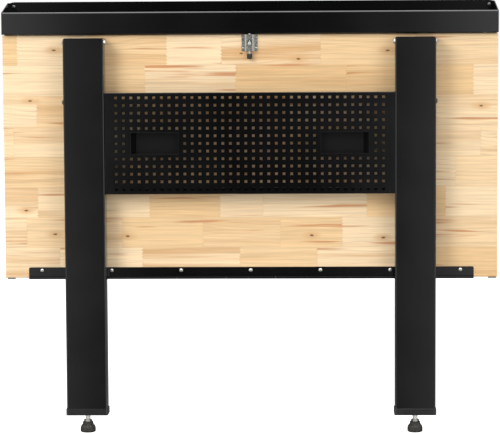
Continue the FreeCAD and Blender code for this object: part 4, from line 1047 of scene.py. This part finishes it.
# Latch: a housing folded from zinc plated sheet with a round-ended window, a
# bolt with a collar and a return spring inside it, and a moulded black knob.
hat_sheet = 0.0016
hat_half_width = 0.0105
hat_bend = 0.003
hat_foot_bend = 0.0012
window_half_width = 0.0050
window_half_height = 0.0057
window_corner = 0.0042
web_sheet = 0.002
guide_gap = 0.0003
rod_chamfer = 0.001
rod_sides = 32
collar_rise = 0.0070
collar_sides = 40
knob_sides = 72
knob_ribs = 18
knob_rib_depth = 0.0003
knob_top = ((0.98, 0.0012), (0.86, 0.0))
knob_bottom = ((0.70, 0.0), (0.90, 0.0006), (1.0, 0.002))
knob_rib_ends = (0.0028, 0.002)
spangle_size = 220.0
sheet_gloss = (0.20, 0.28)
sheet_grey = (0.40, 0.395, 0.36)
galvanised, tree, shader, place = new_material("galvanised_sheet", sheet_grey, 0.24, 1.0)
mottle(tree, shader, speckle(tree, place, spangle_size), *sheet_gloss)
low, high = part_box("latch_housing")
rod_low, rod_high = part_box("latch_rod")
rod_middle = middle_of("latch_rod")
rod_radius = (rod_high.x - rod_low.x) / 2
foot = high.y - hat_sheet
face = low.y + hat_sheet
inside = hat_half_width - hat_sheet
hat = prism(rounded_outline([
    (low.x, high.y), (low.x, foot), (-hat_half_width, foot, hat_foot_bend),
    (-hat_half_width, low.y, hat_bend), (hat_half_width, low.y, hat_bend),
    (hat_half_width, foot, hat_foot_bend), (high.x, foot), (high.x, high.y),
    (inside, high.y), (inside, face, hat_bend - hat_sheet), (-inside, face, hat_bend - hat_sheet),
    (-inside, high.y)]), "Z", low.z, high.z)
webs = [prism(oblong((-inside, foot), (inside, face)), "Z", start, start + web_sheet)
        for start in (low.z, high.z - web_sheet)]
window_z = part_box("latch_collar")[0].z + window_half_height - guide_gap
window_corners = oblong((-window_half_width, window_z - window_half_height),
                        (window_half_width, window_z + window_half_height))
window = prism(rounded_outline([(*corner, window_corner) for corner in window_corners]),
               "Y", low.y - hat_sheet, face + hat_sheet)
guide_radius = rod_radius + guide_gap
guide = turned([(0, low.z - web_sheet), (guide_radius, low.z - web_sheet),
                (guide_radius, high.z + web_sheet), (0, high.z + web_sheet)], rod_middle, rod_sides)
put_on("latch_hat", cut_away(joined_mesh("latch_hat", hat, *webs), window, guide),
       "zinc", galvanised, "latch_housing")
fit("latch_bolt_rod", turned([
    (0, rod_low.z), (rod_radius, rod_low.z), (rod_radius, rod_high.z - rod_chamfer),
    (rod_radius - rod_chamfer, rod_high.z), (0, rod_high.z)], rod_middle, rod_sides),
    "zinc", zinc, "latch_rod")
low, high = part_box("latch_collar")
radius, rim, top = (high.x - low.x) / 2, rod_chamfer / 2, low.z + collar_rise
fit("latch_stop_collar", turned([
    (0, low.z), (radius - rim, low.z), (radius, low.z + rim), (radius, top - rim), (radius - rim, top),
    (0, top)], rod_middle, collar_sides), "zinc", zinc, "latch_collar")


def ribbed(reach):
    """A radius with fine ribs."""
    return lambda turn: reach - knob_rib_depth * (0.5 + 0.5 * math.cos(knob_ribs * turn))


low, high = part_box("latch_knob")
radius = (high.x - low.x) / 2
rings = [(0, low.z)] + [(radius * share, low.z + rise) for share, rise in knob_bottom]
rings += [(ribbed(radius), low.z + knob_rib_ends[0]), (ribbed(radius), high.z - knob_rib_ends[1])]
rings += [(radius * share, high.z - drop) for share, drop in knob_top] + [(0, high.z)]
fit("latch_pull_knob", turned(rings, (low + high) / 2, knob_sides),
    "black_plastic", moulded_black, "latch_knob")
